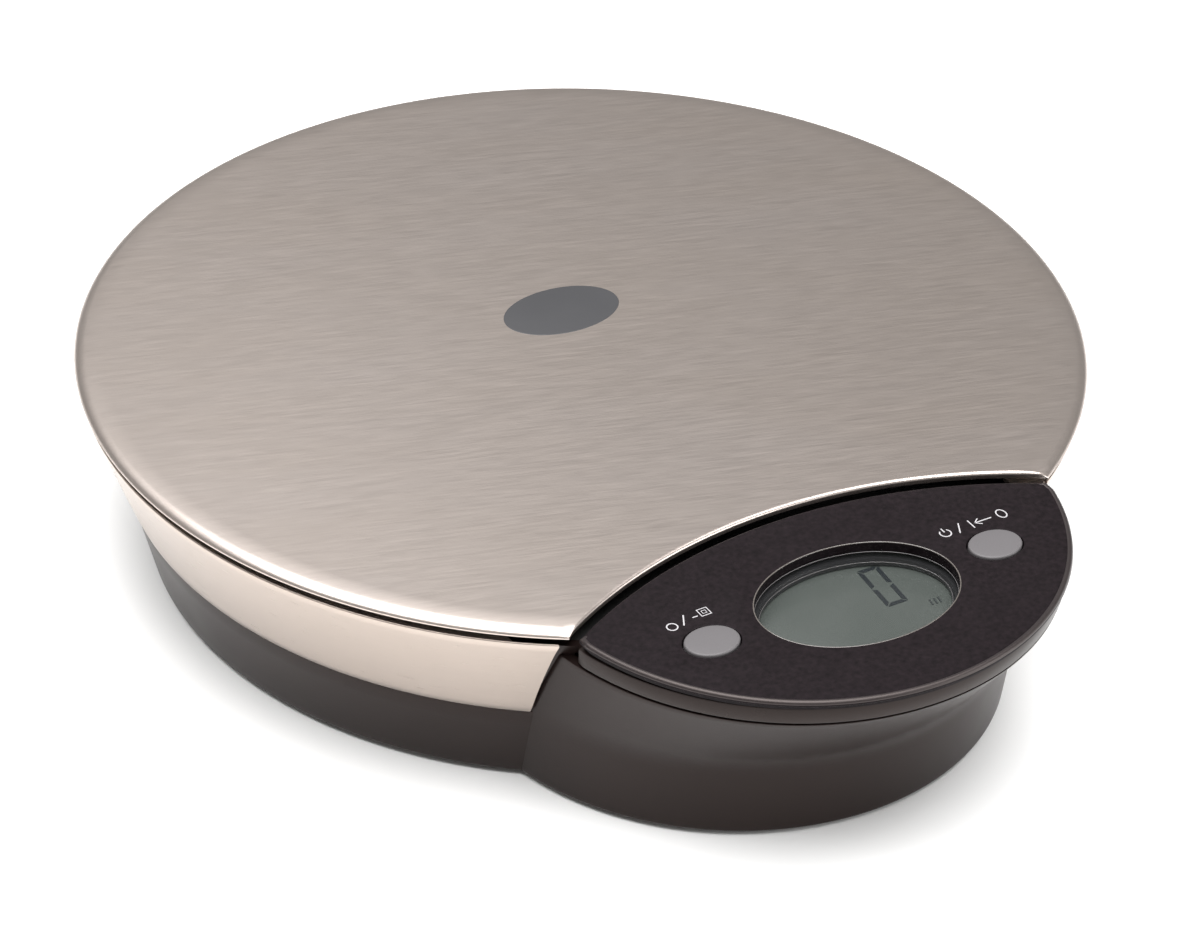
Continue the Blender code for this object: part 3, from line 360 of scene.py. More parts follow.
class Nodes:
    """A small helper that adds shader nodes, and sets or links their inputs."""

    def __init__(self, name):
        self.material = bpy.data.materials.new(name)
        self.material.use_nodes = True
        self.tree = self.material.node_tree
        self.shader = self.tree.nodes["Principled BSDF"]

    def feed(self, node, **inputs):
        """Gives a node's inputs their values or links; an underscore stands for a space."""
        for key, value in inputs.items():
            socket = node.inputs[key.replace("_", " ")]
            if isinstance(value, bpy.types.NodeSocket):
                self.tree.links.new(value, socket)
            else:
                socket.default_value = value
        return node

    def add(self, kind, settings=None, **inputs):
        node = self.tree.nodes.new(kind)
        for key, value in (settings or {}).items():
            setattr(node, key, value)
        return self.feed(node, **inputs)

    def set(self, **inputs):
        self.feed(self.shader, **inputs)

    def place(self, turn=0.0, scale=(1.0, 1.0, 1.0)):
        """The piece's own coordinates, turned about Z and stretched."""
        own = self.add("ShaderNodeTexCoord").outputs["Object"]
        turned_by = self.add("ShaderNodeMapping", Vector=own, Rotation=(0.0, 0.0, -turn))
        stretched = self.add("ShaderNodeMapping", Vector=turned_by.outputs["Vector"], Scale=scale)
        return stretched.outputs["Vector"]

    def noise(self, where, scale, detail=4.0, rough=0.5):
        node = self.add("ShaderNodeTexNoise", Vector=where, Scale=scale, Detail=detail, Roughness=rough)
        return node.outputs["Fac"]

    def ramp(self, source, *stops):
        """A blend between two (position, colour) stops."""
        node = self.add("ShaderNodeValToRGB", Fac=source)
        for element, (position, colour) in zip(node.color_ramp.elements, stops):
            element.position = position
            element.color = (*colour, 1.0)
        return node.outputs["Color"]

    def shade(self, source, dark, light):
        """A blend of two colours over a noise's usual range."""
        return self.ramp(source, *zip(NOISE_RANGE, (dark, light)))

    def spread(self, source, low, high):
        """Maps a noise's usual range to another."""
        node = self.add("ShaderNodeMapRange", Value=source, To_Min=low, To_Max=high)
        return self.feed(node, From_Min=NOISE_RANGE[0], From_Max=NOISE_RANGE[1]).outputs["Result"]

    def multiply(self, first, second):
        kind = {"data_type": "RGBA", "blend_type": "MULTIPLY"}
        return self.add("ShaderNodeMix", kind, Factor=1.0, A=first, B=second).outputs["Result"]

    def bump(self, source, distance):
        """Adds relief on top of any that is there."""
        node = self.add("ShaderNodeBump", Distance=distance, Strength=1.0, Height=source)
        normal = self.shader.inputs["Normal"]
        if normal.is_linked:
            self.feed(node, Normal=normal.links[0].from_socket)
        self.set(Normal=node.outputs["Normal"])


def tinted(colour, share):
    return tuple(min(1.0, channel * share) for channel in colour)


def brushed_steel(name, colour, roughness, streak, patch, warm, relief, turn=0.0, band=False):
    """Brushed steel sheet: fine streaks in its colour, roughness and relief, along X or round a band."""
    made = Nodes(name)

    def along(stretch):
        return made.place(turn, (stretch, stretch if band else 1.0, 1.0))

    fine = made.noise(along(0.040), 3200.0, 3.0, 0.55)
    broad = made.noise(along(0.070), 900.0, 3.0)
    cloud = made.noise(along(0.45), 34.0, 3.0, 0.6)
    tones = made.ramp(fine, (0.25, tinted(colour, 1 - streak)), (0.75, tinted(colour, 1 + streak)))
    bands = made.ramp(broad, (0.30, (1 - streak / 3,) * 3), (0.70, (1 + streak / 3,) * 3))
    clouds = made.shade(cloud, tinted(warm, 1 - patch), WHITE)
    made.set(
        Metallic=1.0,
        Base_Color=made.multiply(made.multiply(tones, bands), clouds),
        Roughness=made.spread(fine, roughness - 0.04, roughness + 0.04),
    )
    made.bump(fine, relief)
    made.bump(broad, relief / 2)
    return made.material


def moulded(
    name, colour, roughness, grain=1500.0, relief=0.000012, mottle=0.10, specular=0.5, tint=WHITE,
    speckle=0.0,
):
    """Moulded plastic or rubber with a fine spark-eroded texture and slightly uneven gloss."""
    made = Nodes(name)
    where = made.place()
    texture = made.noise(where, grain, 3.0, 0.6)
    cloud = made.noise(where, 45.0, 3.0)
    pattern, swing = (texture, speckle) if speckle else (cloud, mottle)
    made.set(
        Specular_IOR_Level=specular,
        Specular_Tint=(*tint, 1.0),
        Base_Color=made.shade(pattern, tinted(colour, 1 - swing), tinted(colour, 1 + swing)),
        Roughness=made.spread(cloud, roughness - 0.04, roughness + 0.04),
    )
    made.bump(texture, relief)
    return made.material


def metal(name, colour, roughness, grain=900.0):
    """Plain plated or machined metal, with a slightly uneven surface."""
    made = Nodes(name)
    where = made.place()
    texture = made.noise(where, grain, 4.0, 0.6)
    cloud = made.noise(where, 160.0, 3.0)
    made.set(
        Metallic=1.0,
        Base_Color=made.shade(cloud, tinted(colour, 0.86), tinted(colour, 1.08)),
        Roughness=made.spread(texture, roughness - 0.06, roughness + 0.08),
    )
    made.bump(texture, 0.000006)
    return made.material


def board_green(name):
    """Solder mask over copper: darker lands and lighter tracks from a stepped cell pattern."""
    made = Nodes(name)
    where = made.place()
    pattern = {"feature": "DISTANCE_TO_EDGE", "distance": "MANHATTAN"}
    cells = made.add("ShaderNodeTexVoronoi", pattern, Vector=where, Scale=260.0, Randomness=0.75)
    track, land = (0.030, 0.170, 0.060), (0.012, 0.085, 0.032)
    made.set(Base_Color=made.ramp(cells.outputs["Distance"], (0.05, track), (0.09, land)), Roughness=0.32)
    made.bump(made.noise(where, 700.0), 0.00001)
    return made.material


def clear_acrylic(name):
    """A thin clear window: it lets most light straight through, with a faint gloss."""
    made = Nodes(name)
    haze = made.noise(made.place(), 120.0)
    made.set(Base_Color=(0.030, 0.034, 0.032, 1.0), Alpha=0.08, Roughness=made.spread(haze, 0.06, 0.10))
    return made.material


def display_grey(name):
    """The liquid crystal's grey-green field, a little uneven."""
    made = Nodes(name)
    cloud = made.noise(made.place(), 60.0, 2.0)
    field = made.shade(cloud, (0.061, 0.070, 0.064), (0.073, 0.082, 0.076))
    made.set(Base_Color=field, Roughness=made.spread(cloud, 0.22, 0.30))
    return made.material


# ---------------- the steel

def platter_height(x, y):
    """The platter's top surface: flat, falling away gently to the rim, and rolled over at every edge."""
    from_rim = PLATTER_RADIUS - sqrt(x * x + y * y)
    from_arc = sqrt(x * x + (y - CUT_OUT_CENTRE_Y) ** 2) - CUT_OUT_RADIUS
    crown = CROWN_DROP * max(0.0, 1.0 - from_rim / CROWN_WIDTH) ** 2
    return HEIGHT - max(crown + roll_drop(from_rim, *PLATTER_ROLL), roll_drop(from_arc, *PLATTER_FOLD))


def roll_drop(distance, width, depth):
    """How far an edge rolled over as a quarter oval has dropped at a distance in from it."""
    share = 1.0 - min(max(distance / width, 0.0), 1.0)
    return depth * (1.0 - sqrt(1.0 - share * share))


def platter_loop(inset, height_of):
    outline = notched_disc(PLATTER_RADIUS - inset, CUT_OUT_RADIUS + inset)
    return [(x, y, height_of(x, y)) for x, y in outline]


def platter():
    """The platter as one skin of steel sheet: underside, rolled lip, side and crowned top."""
    sheet = PLATTER_SHEET
    underside = HEIGHT - sheet - CROWN_DROP
    lip = PLATTER_EDGE_Z + PLATTER_LIP_RISE
    hem = sheet / 4
    reach = 0.0120
    bend = 0.0008
    flat = [
        (reach, underside),
        (sheet + bend * 1.5, underside),
        (sheet + 0.0003, underside - 0.0003),
        (sheet, underside - bend),
        (sheet, lip + hem),
        (sheet * 0.85, lip + hem * 0.3),
        (sheet * 0.5, lip),
        (sheet * 0.15, lip + hem * 0.3),
        (0.0, lip + hem),
    ]
    loops = [platter_loop(inset, lambda x, y, level=level: level) for inset, level in flat]
    roll = PLATTER_ROLL[0]
    insets = [roll * across for across, _ in quarter(16)]
    crown_steps = 14
    insets += [roll + (CROWN_WIDTH - roll) * i / crown_steps for i in range(1, crown_steps + 1)]
    loops += [platter_loop(inset, platter_height) for inset in insets]
    tray = smooth(skin("steel_platter", loops), 40)
    finished(tray, "platter_steel", PLATTER_STEEL, "platter", body="platform")


def emblem():
    """A plain dark oval etched in the middle of the platter."""
    semi = (0.0137, 0.0089)
    thickness = 0.00004
    edge = 0.00015
    sections = [
        (HEIGHT + thickness / 8, semi),
        (HEIGHT + thickness, grown(semi, -edge / 2)),
        (HEIGHT + thickness * 1.2, grown(semi, -edge)),
    ]
    oval = smooth(oval_stack("platter_emblem", (0.0, 0.0089), sections), 60)
    finished(oval, "platter_steel", EMBLEM_DARK, body="platform")


def skirt_radius(height):
    share = (height - WAIST_Z) / (SKIRT_TOP_Z - WAIST_Z)
    return SKIRT_WAIST_RADIUS + share * (SKIRT_TOP_RADIUS - SKIRT_WAIST_RADIUS)


def skirt():
    """The steel band, open for the pod, with a rounded top edge."""
    low = WAIST_Z + GAP
    edge = 0.0004
    top = SKIRT_TOP_Z
    profile = [
        (skirt_radius(top) - SKIRT_SHEET, top - edge / 2),
        (skirt_radius(low) - SKIRT_SHEET, low),
        (skirt_radius(low) - edge / 2, low),
        (skirt_radius(low), low + edge / 2),
    ]
    rise = 12
    heights = [low + (top - edge - low) * i / rise for i in range(1, rise)]
    profile += [(skirt_radius(height), height) for height in heights]
    brow = skirt_radius(top - edge)
    profile += [(brow - edge * across, top - edge * down) for across, down in quarter(5)]
    band = turned("steel_skirt", profile, steps=ROUND_STEPS, ring=True)
    beyond = 0.002
    waist = (POD_WAIST[0], POD_WAIST[1] + SKIRT_CLEARANCE[0])
    head = (POD_TOP[0], POD_TOP[1] + SKIRT_CLEARANCE[1])
    sections = [(WAIST_Z - beyond, *waist), (WAIST_Z, *waist), (POD_TOP_Z, *head), (top + beyond, *head)]
    cut(band, drum("skirt_gap", sections, POD_STEPS))
    smooth(band)
    finished(band, "skirt_steel", SKIRT_STEEL, "skirt_ring")


def skirt_flange():
    """The flat ring turned in at the skirt's top edge."""
    low, high = FLANGE_Z
    above = 0.002
    outline = notched_disc(SKIRT_TOP_RADIUS - SKIRT_SHEET, PANEL_BACK_RADIUS + SKIRT_CLEARANCE[0])
    flange = plate("steel_skirt_flange", outline, low, high)
    middle = hole("flange_middle", FLANGE_INNER_RADIUS, (0.0, 0.0), low - above, high + above, ROUND_STEPS)
    left, right = FLANGE_BAY_X
    bay_low = (left, -SKIRT_TOP_RADIUS, low - above)
    bay_high = (right, -SKIRT_TOP_RADIUS / 2, high + above)
    cut(flange, middle, block("flange_bay", bay_low, bay_high))
    smooth(flange)
    finished(flange, "skirt_steel", FLANGE_STEEL)


# ---------------- the base housing

def bent(height, foot, waist, top):
    """A value that goes straight from foot to waist to top, its bend rounded over a band of heights."""
    below = (waist - foot) / (WAIST_Z - BASE_BOTTOM_Z)
    above = (top - waist) / (POD_TOP_Z - WAIST_Z)
    rise = height - WAIST_Z
    value = waist + rise * (below if rise < 0 else above)
    if abs(rise) < POD_BLEND:
        value += (above - below) * (POD_BLEND - abs(rise)) ** 2 / (4 * POD_BLEND)
    return value


def pod_section(height, inset=0.0):
    centre, radius = (bent(height, *values) for values in zip(POD_FOOT, POD_WAIST, POD_TOP))
    return height, centre, radius - inset


def foot_round(section_of, radius=0.0009):
    """The sections that round the bottom edge of the bowl or the pod."""
    return [section_of(BASE_BOTTOM_Z + radius * across, radius * down) for across, down in quarter(6)]


def bowl_section(height, inset=0.0):
    share = (height - BASE_BOTTOM_Z) / (WAIST_Z - BASE_BOTTOM_Z)
    return height, 0.0, BASE_FOOT_RADIUS + share * (BASE_WAIST_RADIUS - BASE_FOOT_RADIUS) - inset


def bowl_outside():
    rim_z = SKIRT_TOP_Z - 0.0012
    edge = 0.0003
    step = 0.004
    sections = foot_round(bowl_section)
    sections += [bowl_section(step * i) for i in range(1, 5)]
    sections += [
        bowl_section(WAIST_Z - edge),
        bowl_section(WAIST_Z, edge * 0.4),
        (WAIST_Z + 0.00005, 0.0, skirt_radius(WAIST_Z) - BOWL_INSET),
        (rim_z, 0.0, skirt_radius(rim_z) - BOWL_INSET),
    ]
    return sections


def pod_outside():
    edge = 0.00035
    steps = 36
    start = BASE_BOTTOM_Z + 0.0016
    rise = (POD_TOP_Z - edge - start) / steps
    sections = foot_round(pod_section)
    sections += [pod_section(start + rise * i) for i in range(steps + 1)]
    sections.append(pod_section(POD_TOP_Z - edge * 0.3, edge * 0.3))
    sections.append(pod_section(POD_TOP_Z, edge))
    return sections


def housing_additions():
    """Bosses for the housing screws, posts for the board, the load cell's pad and the pocket's walls."""
    boss_radius, boss_top = 0.0050, 0.0090
    post_radius, post_top = 0.0032, BOARD_Z[0] - GAP
    tools = [hole("screw_boss", boss_radius, at, ROOTED_Z, boss_top) for at in PILLARS]
    tools += [hole("board_post", post_radius, at, ROOTED_Z, post_top) for at in BOARD_SCREWS]
    pad_left, pad_right = -CELL_LENGTH / 2 - 0.003, -0.010
    pad_y, pad_top = 0.010, 0.0062
    tools.append(block("cell_pad", (pad_left, -pad_y, ROOTED_Z), (pad_right, pad_y, pad_top)))
    (left, front), (right, back) = POCKET
    side, end = 0.0018, 0.0030
    walls_low = (left - end, front - side, ROOTED_Z)
    walls_high = (right + end, back + side, POCKET_ROOF_Z[1])
    tools.append(block("pocket_walls", walls_low, walls_high))
    return joined("housing_additions", tools)


def housing_holes():
    """The foot recesses, the wells and ways for the screws, and the slots for the battery contacts."""
    recess, recess_top = FOOT_RADIUS + GAP, 0.0022
    pilot, pilot_z = 0.0014, (0.0240, 0.0380)
    case_well = {"wide": 0.0034, "wide_top": 0.0062, "narrow": 0.0019, "top": 0.0100}
    cell_well = {"wide": 0.0040, "wide_top": 0.0036, "narrow": 0.0025, "top": 0.0080}
    tools = [hole("foot_recess", recess, at, 0.0, recess_top) for at in FEET]
    tools += [stepped_hole("case_well", at, **case_well) for at in PILLARS]
    tools += [hole("board_pilot", pilot, at, *pilot_z) for at in BOARD_SCREWS]
    tools += [stepped_hole("cell_well", (-x, 0.0), **cell_well) for x in CELL_SCREW_X]
    slot_x = CONTACT_X + CONTACT_SHEET / 2
    half_x, half_y = 0.0007, 0.0024
    low_z, high_z = POCKET_ROOF_Z[0] - 0.0005, POCKET_ROOF_Z[1] + 0.001
    for y in BATTERY_YS:
        low = (slot_x - half_x, y - half_y, low_z)
        high = (slot_x + half_x, y + half_y, high_z)
        tools.append(block("contact_slot", low, high))
    return joined("housing_holes", tools)


def stepped_hole(name, at, wide, wide_top, narrow, top):
    """A wide well from below the base, with a narrow way on from its end."""
    edge = 0.0003
    profile = [
        (wide + edge, 0.0),
        (wide + edge, BASE_BOTTOM_Z),
        (wide, BASE_BOTTOM_Z + edge),
        (wide, wide_top),
        (narrow, wide_top),
        (narrow, top),
    ]
    return turned(name, profile, at)


def base_housing():
    """The dark moulded base: the round bowl and the pod as one shell, hollow above and detailed below."""
    base = drum("moulded_base", bowl_outside())
    fused(base, drum("pod_outside", pod_outside(), POD_STEPS))
    inset = BOWL_INSET + BOWL_WALL
    above = SKIRT_TOP_Z + 0.001
    bowl_inside = [
        (FLOOR_Z, 0.0, BASE_FOOT_RADIUS - WALL),
        (WAIST_Z, 0.0, skirt_radius(WAIST_Z) - inset),
        (above, 0.0, skirt_radius(above) - inset),
    ]
    heights = (FLOOR_Z, WAIST_Z - POD_BLEND, WAIST_Z, WAIST_Z + POD_BLEND, POD_TOP_Z + 0.0008)
    seat_front = (POD_TOP[0], POD_TOP[1] + 0.0006)
    seat = lens(seat_front, PANEL_BACK_RADIUS + 0.0004, PANEL_HALF_WIDTH + 0.0008)
    cut(
        base,
        drum("bowl_inside", bowl_inside, POD_STEPS),
        drum("pod_inside", [pod_section(height, WALL) for height in heights], POD_STEPS),
        plate("panel_seat", seat, POD_TOP_Z, SKIRT_TOP_Z + 0.002),
    )
    fused(base, housing_additions())
    (left, front), (right, back) = POCKET
    room = 0.0004
    recess_low = (-DOOR_HALF_WIDTH - room, DOOR_FRONT_Y - room, 0.0)
    recess_high = (DOOR_HALF_WIDTH + room, DOOR_HINGE_Y + 0.0013, 0.0033)
    cut(
        base,
        housing_holes(),
        block("pocket_space", (left, front, 0.0), (right, back, POCKET_ROOF_Z[0])),
        block("door_recess", recess_low, recess_high),
        hole("finger_notch", 0.0060, (0.0, DOOR_FRONT_Y), 0.0, 0.0020),
    )
    smooth(base, 28)
    finished(base, "housing_plastic", HOUSING, "base_housing")


# ---------------- the panel

def panel_frame():
    """The side band under the panel, with softened edges."""
    low, high = POD_TOP_Z + 2 * GAP, FRAME_TOP_Z
    edge = 0.00035
    wall = 0.0020
    sections = [
        (wall, low),
        (edge * 0.3, low),
        (0.0, low + edge * 0.7),
        (0.0, high - edge),
        (edge * 0.3, high - edge * 0.3),
        (edge, high),
        (wall, high),
    ]
    loops = [lens_loop(FRAME_ARC, inset, height) for inset, height in sections]
    band = smooth(skin("panel_side_band", loops, ring=True))
    finished(band, "panel_plastic", BAND, "panel_frame")


def control_panel():
    """The black top: a rounded lip all round over an undercut, an oval window and two oval holes."""
    low, top = PANEL_Z
    lip = top - PANEL_ROUND
    turn = 0.00015
    below = low - 0.001
    sections = [(PANEL_UNDERCUT, low), (PANEL_UNDERCUT, lip - turn), (turn, lip - turn)]
    sections += [(PANEL_ROUND * across, top - PANEL_ROUND * down) for across, down in quarter(10)]
    loops = [lens_loop(PANEL_ARC, inset, height) for inset, height in sections]
    panel = skin("black_panel", loops)
    window = [(below, WINDOW_SEMI)] + rounded_opening(WINDOW_SEMI, top, WINDOW_ROUND)
    tools = [oval_stack("window", WINDOW_AT, window)]
    semi = grown(BUTTON_SEMI, BUTTON_ROOM)
    key_hole = [(below, semi)] + rounded_opening(semi, top, 0.0002)
    for side in (-1, 1):
        tools.append(oval_stack("key_hole", (side * BUTTON_X, BUTTON_Y), key_hole, 64))
    cut(panel, joined("panel_openings", tools))
    smooth(panel)
    finished(panel, "panel_plastic", PANEL, "control_panel")


def panel_lip():
    """A satin bead along the panel's front edge; along the back edge it sinks below the face."""
    radius = 0.00075
    inset = 0.00080
    height = PANEL_Z[1] - 0.00062
    sunk = 0.0009
    fade = 0.0040
    _, tip_y, _ = max(lens_loop(PANEL_ARC, inset, height))
    loops = []
    for turn in full_turn(16):
        points = lens_loop(PANEL_ARC, inset - radius * cos(turn), height + radius * sin(turn))
        loops.append([(x, y, z - sunk * min(max((y - tip_y) / fade, 0.0), 1.0)) for x, y, z in points])
    lip = smooth(skin("panel_lip", loops, ring=True), 60)
    finished(lip, "panel_plastic", LIP)


def rounded_opening(semi, top, radius):
    """Sections of a cutter that leaves a rounded edge where an oval opening meets a top face."""
    sections = [(top - radius * down, grown(semi, radius * across)) for across, down in quarter(6)]
    return sections + [(top + radius, grown(semi, radius * 1.5))]


def bead(name, semi, height, radius, material):
    """A thin oval ring of round section in the window, in a lighter colour that paints a highlight line."""
    sections = [(height + radius * sin(a), grown(semi, radius * cos(a))) for a in full_turn(12)]
    ring = smooth(oval_stack(name, WINDOW_AT, sections, 2 * OVAL_STEPS, ring=True), 60)
    finished(ring, "panel_plastic", material)


def painted_highlight_rings():
    """A polished ring on the window's edge and fine rings on the lens's and the mask's edges, all much
    lighter than the dark plastic round them: painted highlight lines.
    """
    rim, fine = 0.00014, 0.00008
    low, high = z_range("display_bezel")
    bead("window_rim_painted_highlight", grown(WINDOW_SEMI, rim), PANEL_Z[1] - rim * 0.6, rim, RIM_PAINTED_HIGHLIGHT)
    bead("lens_edge_painted_highlight", grown(WINDOW_SEMI, -fine), z_range("display_lens")[1] + fine, fine, EDGE_PAINTED_HIGHLIGHT)
    bead("mask_edge_painted_highlight", grown(BEZEL_SEMI, fine), (low + high) / 2 + fine, fine, EDGE_PAINTED_HIGHLIGHT)


def display_lens():
    """The clear window, sunk below the panel."""
    low, high = z_range("display_lens")
    edge = 0.0001
    inner = grown(LENS_SEMI, -edge)
    sections = [(low, inner), (low + edge, LENS_SEMI), (high - edge, LENS_SEMI), (high, inner)]
    clear = smooth(oval_stack("clear_window", WINDOW_AT, sections))
    finished(clear, "lens_clear", CLEAR, "display_lens")


def display_bezel():
    """The dark oval mask round the display, stepped down to it."""
    low, high = z_range("display_bezel")
    step = 0.0006
    middle = (low + high) / 2
    sections = [
        (low, LENS_SEMI),
        (high, LENS_SEMI),
        (high, grown(BEZEL_SEMI, step)),
        (middle, grown(BEZEL_SEMI, step * 0.6)),
        (middle, BEZEL_SEMI),
        (low, BEZEL_SEMI),
    ]
    mask = smooth(oval_stack("display_mask", WINDOW_AT, sections, ring=True))
    finished(mask, "panel_plastic", MASK, "display_bezel")


def display_glass():
    low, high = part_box("display_glass")
    shift = Vector((0.0, AXIS_Y, 0.0))
    glass = smooth(block("display_cell", low - shift, high - shift, 0.00015))
    finished(glass, "display", LCD, "display_glass")


def display_print(name, outlines, ink):
    """Flat dark shapes on the display's face, as one piece."""
    low = z_range("display_glass")[1] + 0.00003
    pieces = [plate("print", outline, low, low + 0.00004) for outline in outlines]
    finished(joined(name, pieces), "display", ink)


def digit():
    """A seven-segment nought: six dark bars with mitred ends, leaning to the right."""
    half_w, half_h = 0.0025, 0.0065
    thick, space = 0.00100, 0.00020
    middle_x, middle_y = 0.0100, -0.1034
    lean = sin(radians(5))
    bars = []
    for side in (-1, 1):
        for up in (-1, 1):
            outer, inner = side * half_w, side * (half_w - thick)
            far, near = up * (half_h - space), up * space
            near_end, far_end = near + up * thick / 2, far - up * thick
            bars.append([(outer, far), (inner, far_end), (inner, near_end), (outer, near)])
    long, short = half_w - space, half_w - thick - space
    for up in (-1, 1):
        outer, inner = up * half_h, up * (half_h - thick)
        bars.append([(-long, outer), (long, outer), (short, inner), (-short, inner)])
    leaning = [[(middle_x + x + y * lean, middle_y + y) for x, y in bar] for bar in bars]
    display_print("display_digit", leaning, INK)


def unit_mark():
    """A small generic mark at the display's right end: three short slanted strokes."""
    left, low = 0.0152, -0.1136
    pitch, thick, height, lean = 0.0010, 0.0004, 0.0018, 0.0003
    top = low + height
    strokes = []
    for i in range(3):
        x = left + i * pitch
        strokes.append([(x, low), (x + thick, low), (x + thick + lean, top), (x + lean, top)])
    display_print("display_unit_mark", strokes, INK_FAINT)


def button(name, sign):
    """An oval key with a soft rounded edge and a nearly flat face, on a flange and a stem."""
    low = z_range(name + "_button")[0]
    flange_low, flange_top = 0.0436, 0.0445
    flange = grown(BUTTON_SEMI, 0.0013)
    stem = (0.0018, 0.0018)
    edge = 0.00045
    dome = 0.00012
    sections = [(low, stem), (flange_low, stem), (flange_low, flange), (flange_top, flange)]
    sections.append((flange_top, BUTTON_SEMI))
    for across, down in quarter(7):
        sections.append((BUTTON_TOP_Z - dome - edge * down, grown(BUTTON_SEMI, -edge * across)))
    face = grown(BUTTON_SEMI, -edge)
    for share, fall in ((0.75, 0.4), (0.5, 0.15), (0.25, 0.0)):
        sections.append((BUTTON_TOP_Z - dome * fall, (face[0] * share, face[1] * share)))
    key = smooth(oval_stack(name + "_key", (sign * BUTTON_X, BUTTON_Y), sections, 72))
    finished(key, "button_plastic", KEY, name + "_button", body=name + "_key")


# ---------------- printed marks

def ring_points(centre, semi, steps=28, start=0.0, end=2 * pi):
    x, y = centre
    turns = [start + (end - start) * i / steps for i in range(steps + 1)]
    return [(x + semi[0] * cos(a), y + semi[1] * sin(a)) for a in turns]


def stroke(points, width=PRINT_WIDTH, closed=False):
    """A printed line of a given width along points in plan."""
    low = PANEL_Z[1] + 0.000004
    high = low + 0.00003
    last = len(points) - 1
    loops = []
    for i, (x, y) in enumerate(points):
        before = points[i - 1] if i or closed else points[i]
        after = points[(i + 1) % len(points)] if i < last or closed else points[i]
        along = Vector((after[0] - before[0], after[1] - before[1])).normalized() * width / 2
        left, right = (x - along.y, y + along.x), (x + along.y, y - along.x)
        loops.append([(*left, low), (*left, high), (*right, high), (*right, low)])
    return skin("stroke", loops, ring=closed)


def square_points(centre, half):
    x, y = centre
    return [(x - half, y - half), (x + half, y - half), (x + half, y + half), (x - half, y + half)]


def units_marks():
    """Beside the left key: a ring, a slash, a dash and a square in a square, for a change of unit."""
    y = -0.0998
    size = 0.0011
    square_at = (-0.0300, y + 0.0004)
    pieces = [
        stroke(ring_points((-0.0381, y - 0.0009), (size, size))[:-1], closed=True),
        stroke([(-0.0358, y - 0.0016), (-0.0342, y + 0.0014)]),
        stroke([(-0.0330, y - 0.0002), (-0.0318, y - 0.0002)]),
        stroke(square_points(square_at, size), closed=True),
        stroke(square_points(square_at, size * 0.4), PRINT_WIDTH * 0.7, closed=True),
    ]
    finished(joined("units_key_marks", pieces), "panel_plastic", PRINT)


def tare_marks():
    """Beside the right key: a power sign, a slash, an arrow back to a bar, and a nought, for zeroing."""
    y = -0.1003
    power_x = 0.0271
    opening = radians(130)
    power = ring_points((power_x, y), (0.0012, 0.0012), 26, opening, opening + radians(280))
    tip = (0.0344, y + 0.0001)
    pieces = [
        stroke(power),
        stroke([(power_x, y + 0.0003), (power_x, y + 0.0017)]),
        stroke([(0.0298, y - 0.0014), (0.0313, y + 0.0016)]),
        stroke([(0.0335, y - 0.0013), (0.0335, y + 0.0015)]),
        stroke([tip, (0.0385, tip[1])]),
        stroke([(0.0357, tip[1] + 0.0010), tip, (0.0357, tip[1] - 0.0010)]),
        stroke(ring_points((0.0411, y + 0.0002), (0.0010, 0.0014))[:-1], closed=True),
    ]
    finished(joined("tare_key_marks", pieces), "panel_plastic", PRINT)


# ---------------- below

def foot(number, at):
    """A rubber foot with a rounded edge and a shallow dish in its face."""
    radius, edge = FOOT_RADIUS, 0.0005
    profile = [(radius, 0.0019)]
    profile += [(radius - edge * across, edge * down) for across, down in quarter(5)]
    profile += [(radius * 0.62, 0.0), (radius * 0.55, 0.0002), (radius * 0.15, 0.00025)]
    pad = smooth(turned(f"rubber_foot_{number}", profile[::-1], at, 64), 50)
    finished(pad, "foot_rubber", RUBBER, f"foot_{number}")


def screw(name, node, at, face_z, radius, body, inward=1, slot_side=0.0026):
    """A threaded screw with a domed cross-slotted head; inward is +1 where the head faces down."""
    thin, thick = 0.0013, 0.0020
    stem = thin if radius < 0.0032 else thick
    root = stem * 0.82
    head = inward * 0.0016
    top = face_z + head
    low, high = z_range(node)
    tip = high if inward > 0 else low
    turns = 9
    pitch = (top - tip) / turns
    profile = [(stem * 0.4, tip)]
    for i in range(turns):
        profile.append((root, tip + pitch * (i + 0.15)))
        profile.append((stem, tip + pitch * (i + 0.60)))
    profile += [(root, top), (radius, top)]
    dome = [(1.0, 0.55), (0.97, 0.35), (0.86, 0.15), (0.62, 0.04), (0.30, 0.0)]
    profile += [(radius * out, face_z + head * rise) for out, rise in dome]
    made = turned(name, profile, at, SCREW_STEPS)
    half, width = slot_side / 2, slot_side * 0.13
    x, y = at
    slot_low, slot_high = sorted((face_z - inward * 0.0004, face_z + inward * 0.0008))
    cut(
        made,
        block("slot_x", (x - half, y - width, slot_low), (x + half, y + width, slot_high)),
        block("slot_y", (x - width, y - half, slot_low), (x + width, y + half, slot_high)),
    )
    smooth(made)
    finished(made, "fastener_steel", FASTENER, node, body=body)


def screws():
    """The housing's screws, the load cell's from below and from above, and the circuit board's."""
    case, cell, small = 0.0029, 0.0035, 0.0023
    case_face, cell_face = 0.0044, 0.0013
    cell_slot, small_slot = 0.0036, 0.0024
    for i, at in enumerate(PILLARS, 1):
        screw(f"case_screw_{i}", f"housing_screw_{i}", at, case_face, case, "base")
    for i, x in enumerate(CELL_SCREW_X, 1):
        below, above = f"base_cell_screw_{i}", f"carrier_cell_screw_{i}"
        top = z_range(above)[1]
        screw(f"cell_screw_below_{i}", below, (-x, 0.0), cell_face, cell, "base", 1, cell_slot)
        screw(f"cell_screw_above_{i}", above, (x, 0.0), top, cell, "platform", -1, cell_slot)
    for i, at in enumerate(BOARD_SCREWS, 1):
        node = f"board_screw_{i}"
        screw(f"small_screw_{i}", node, at, z_range(node)[1], small, "base", -1, small_slot)


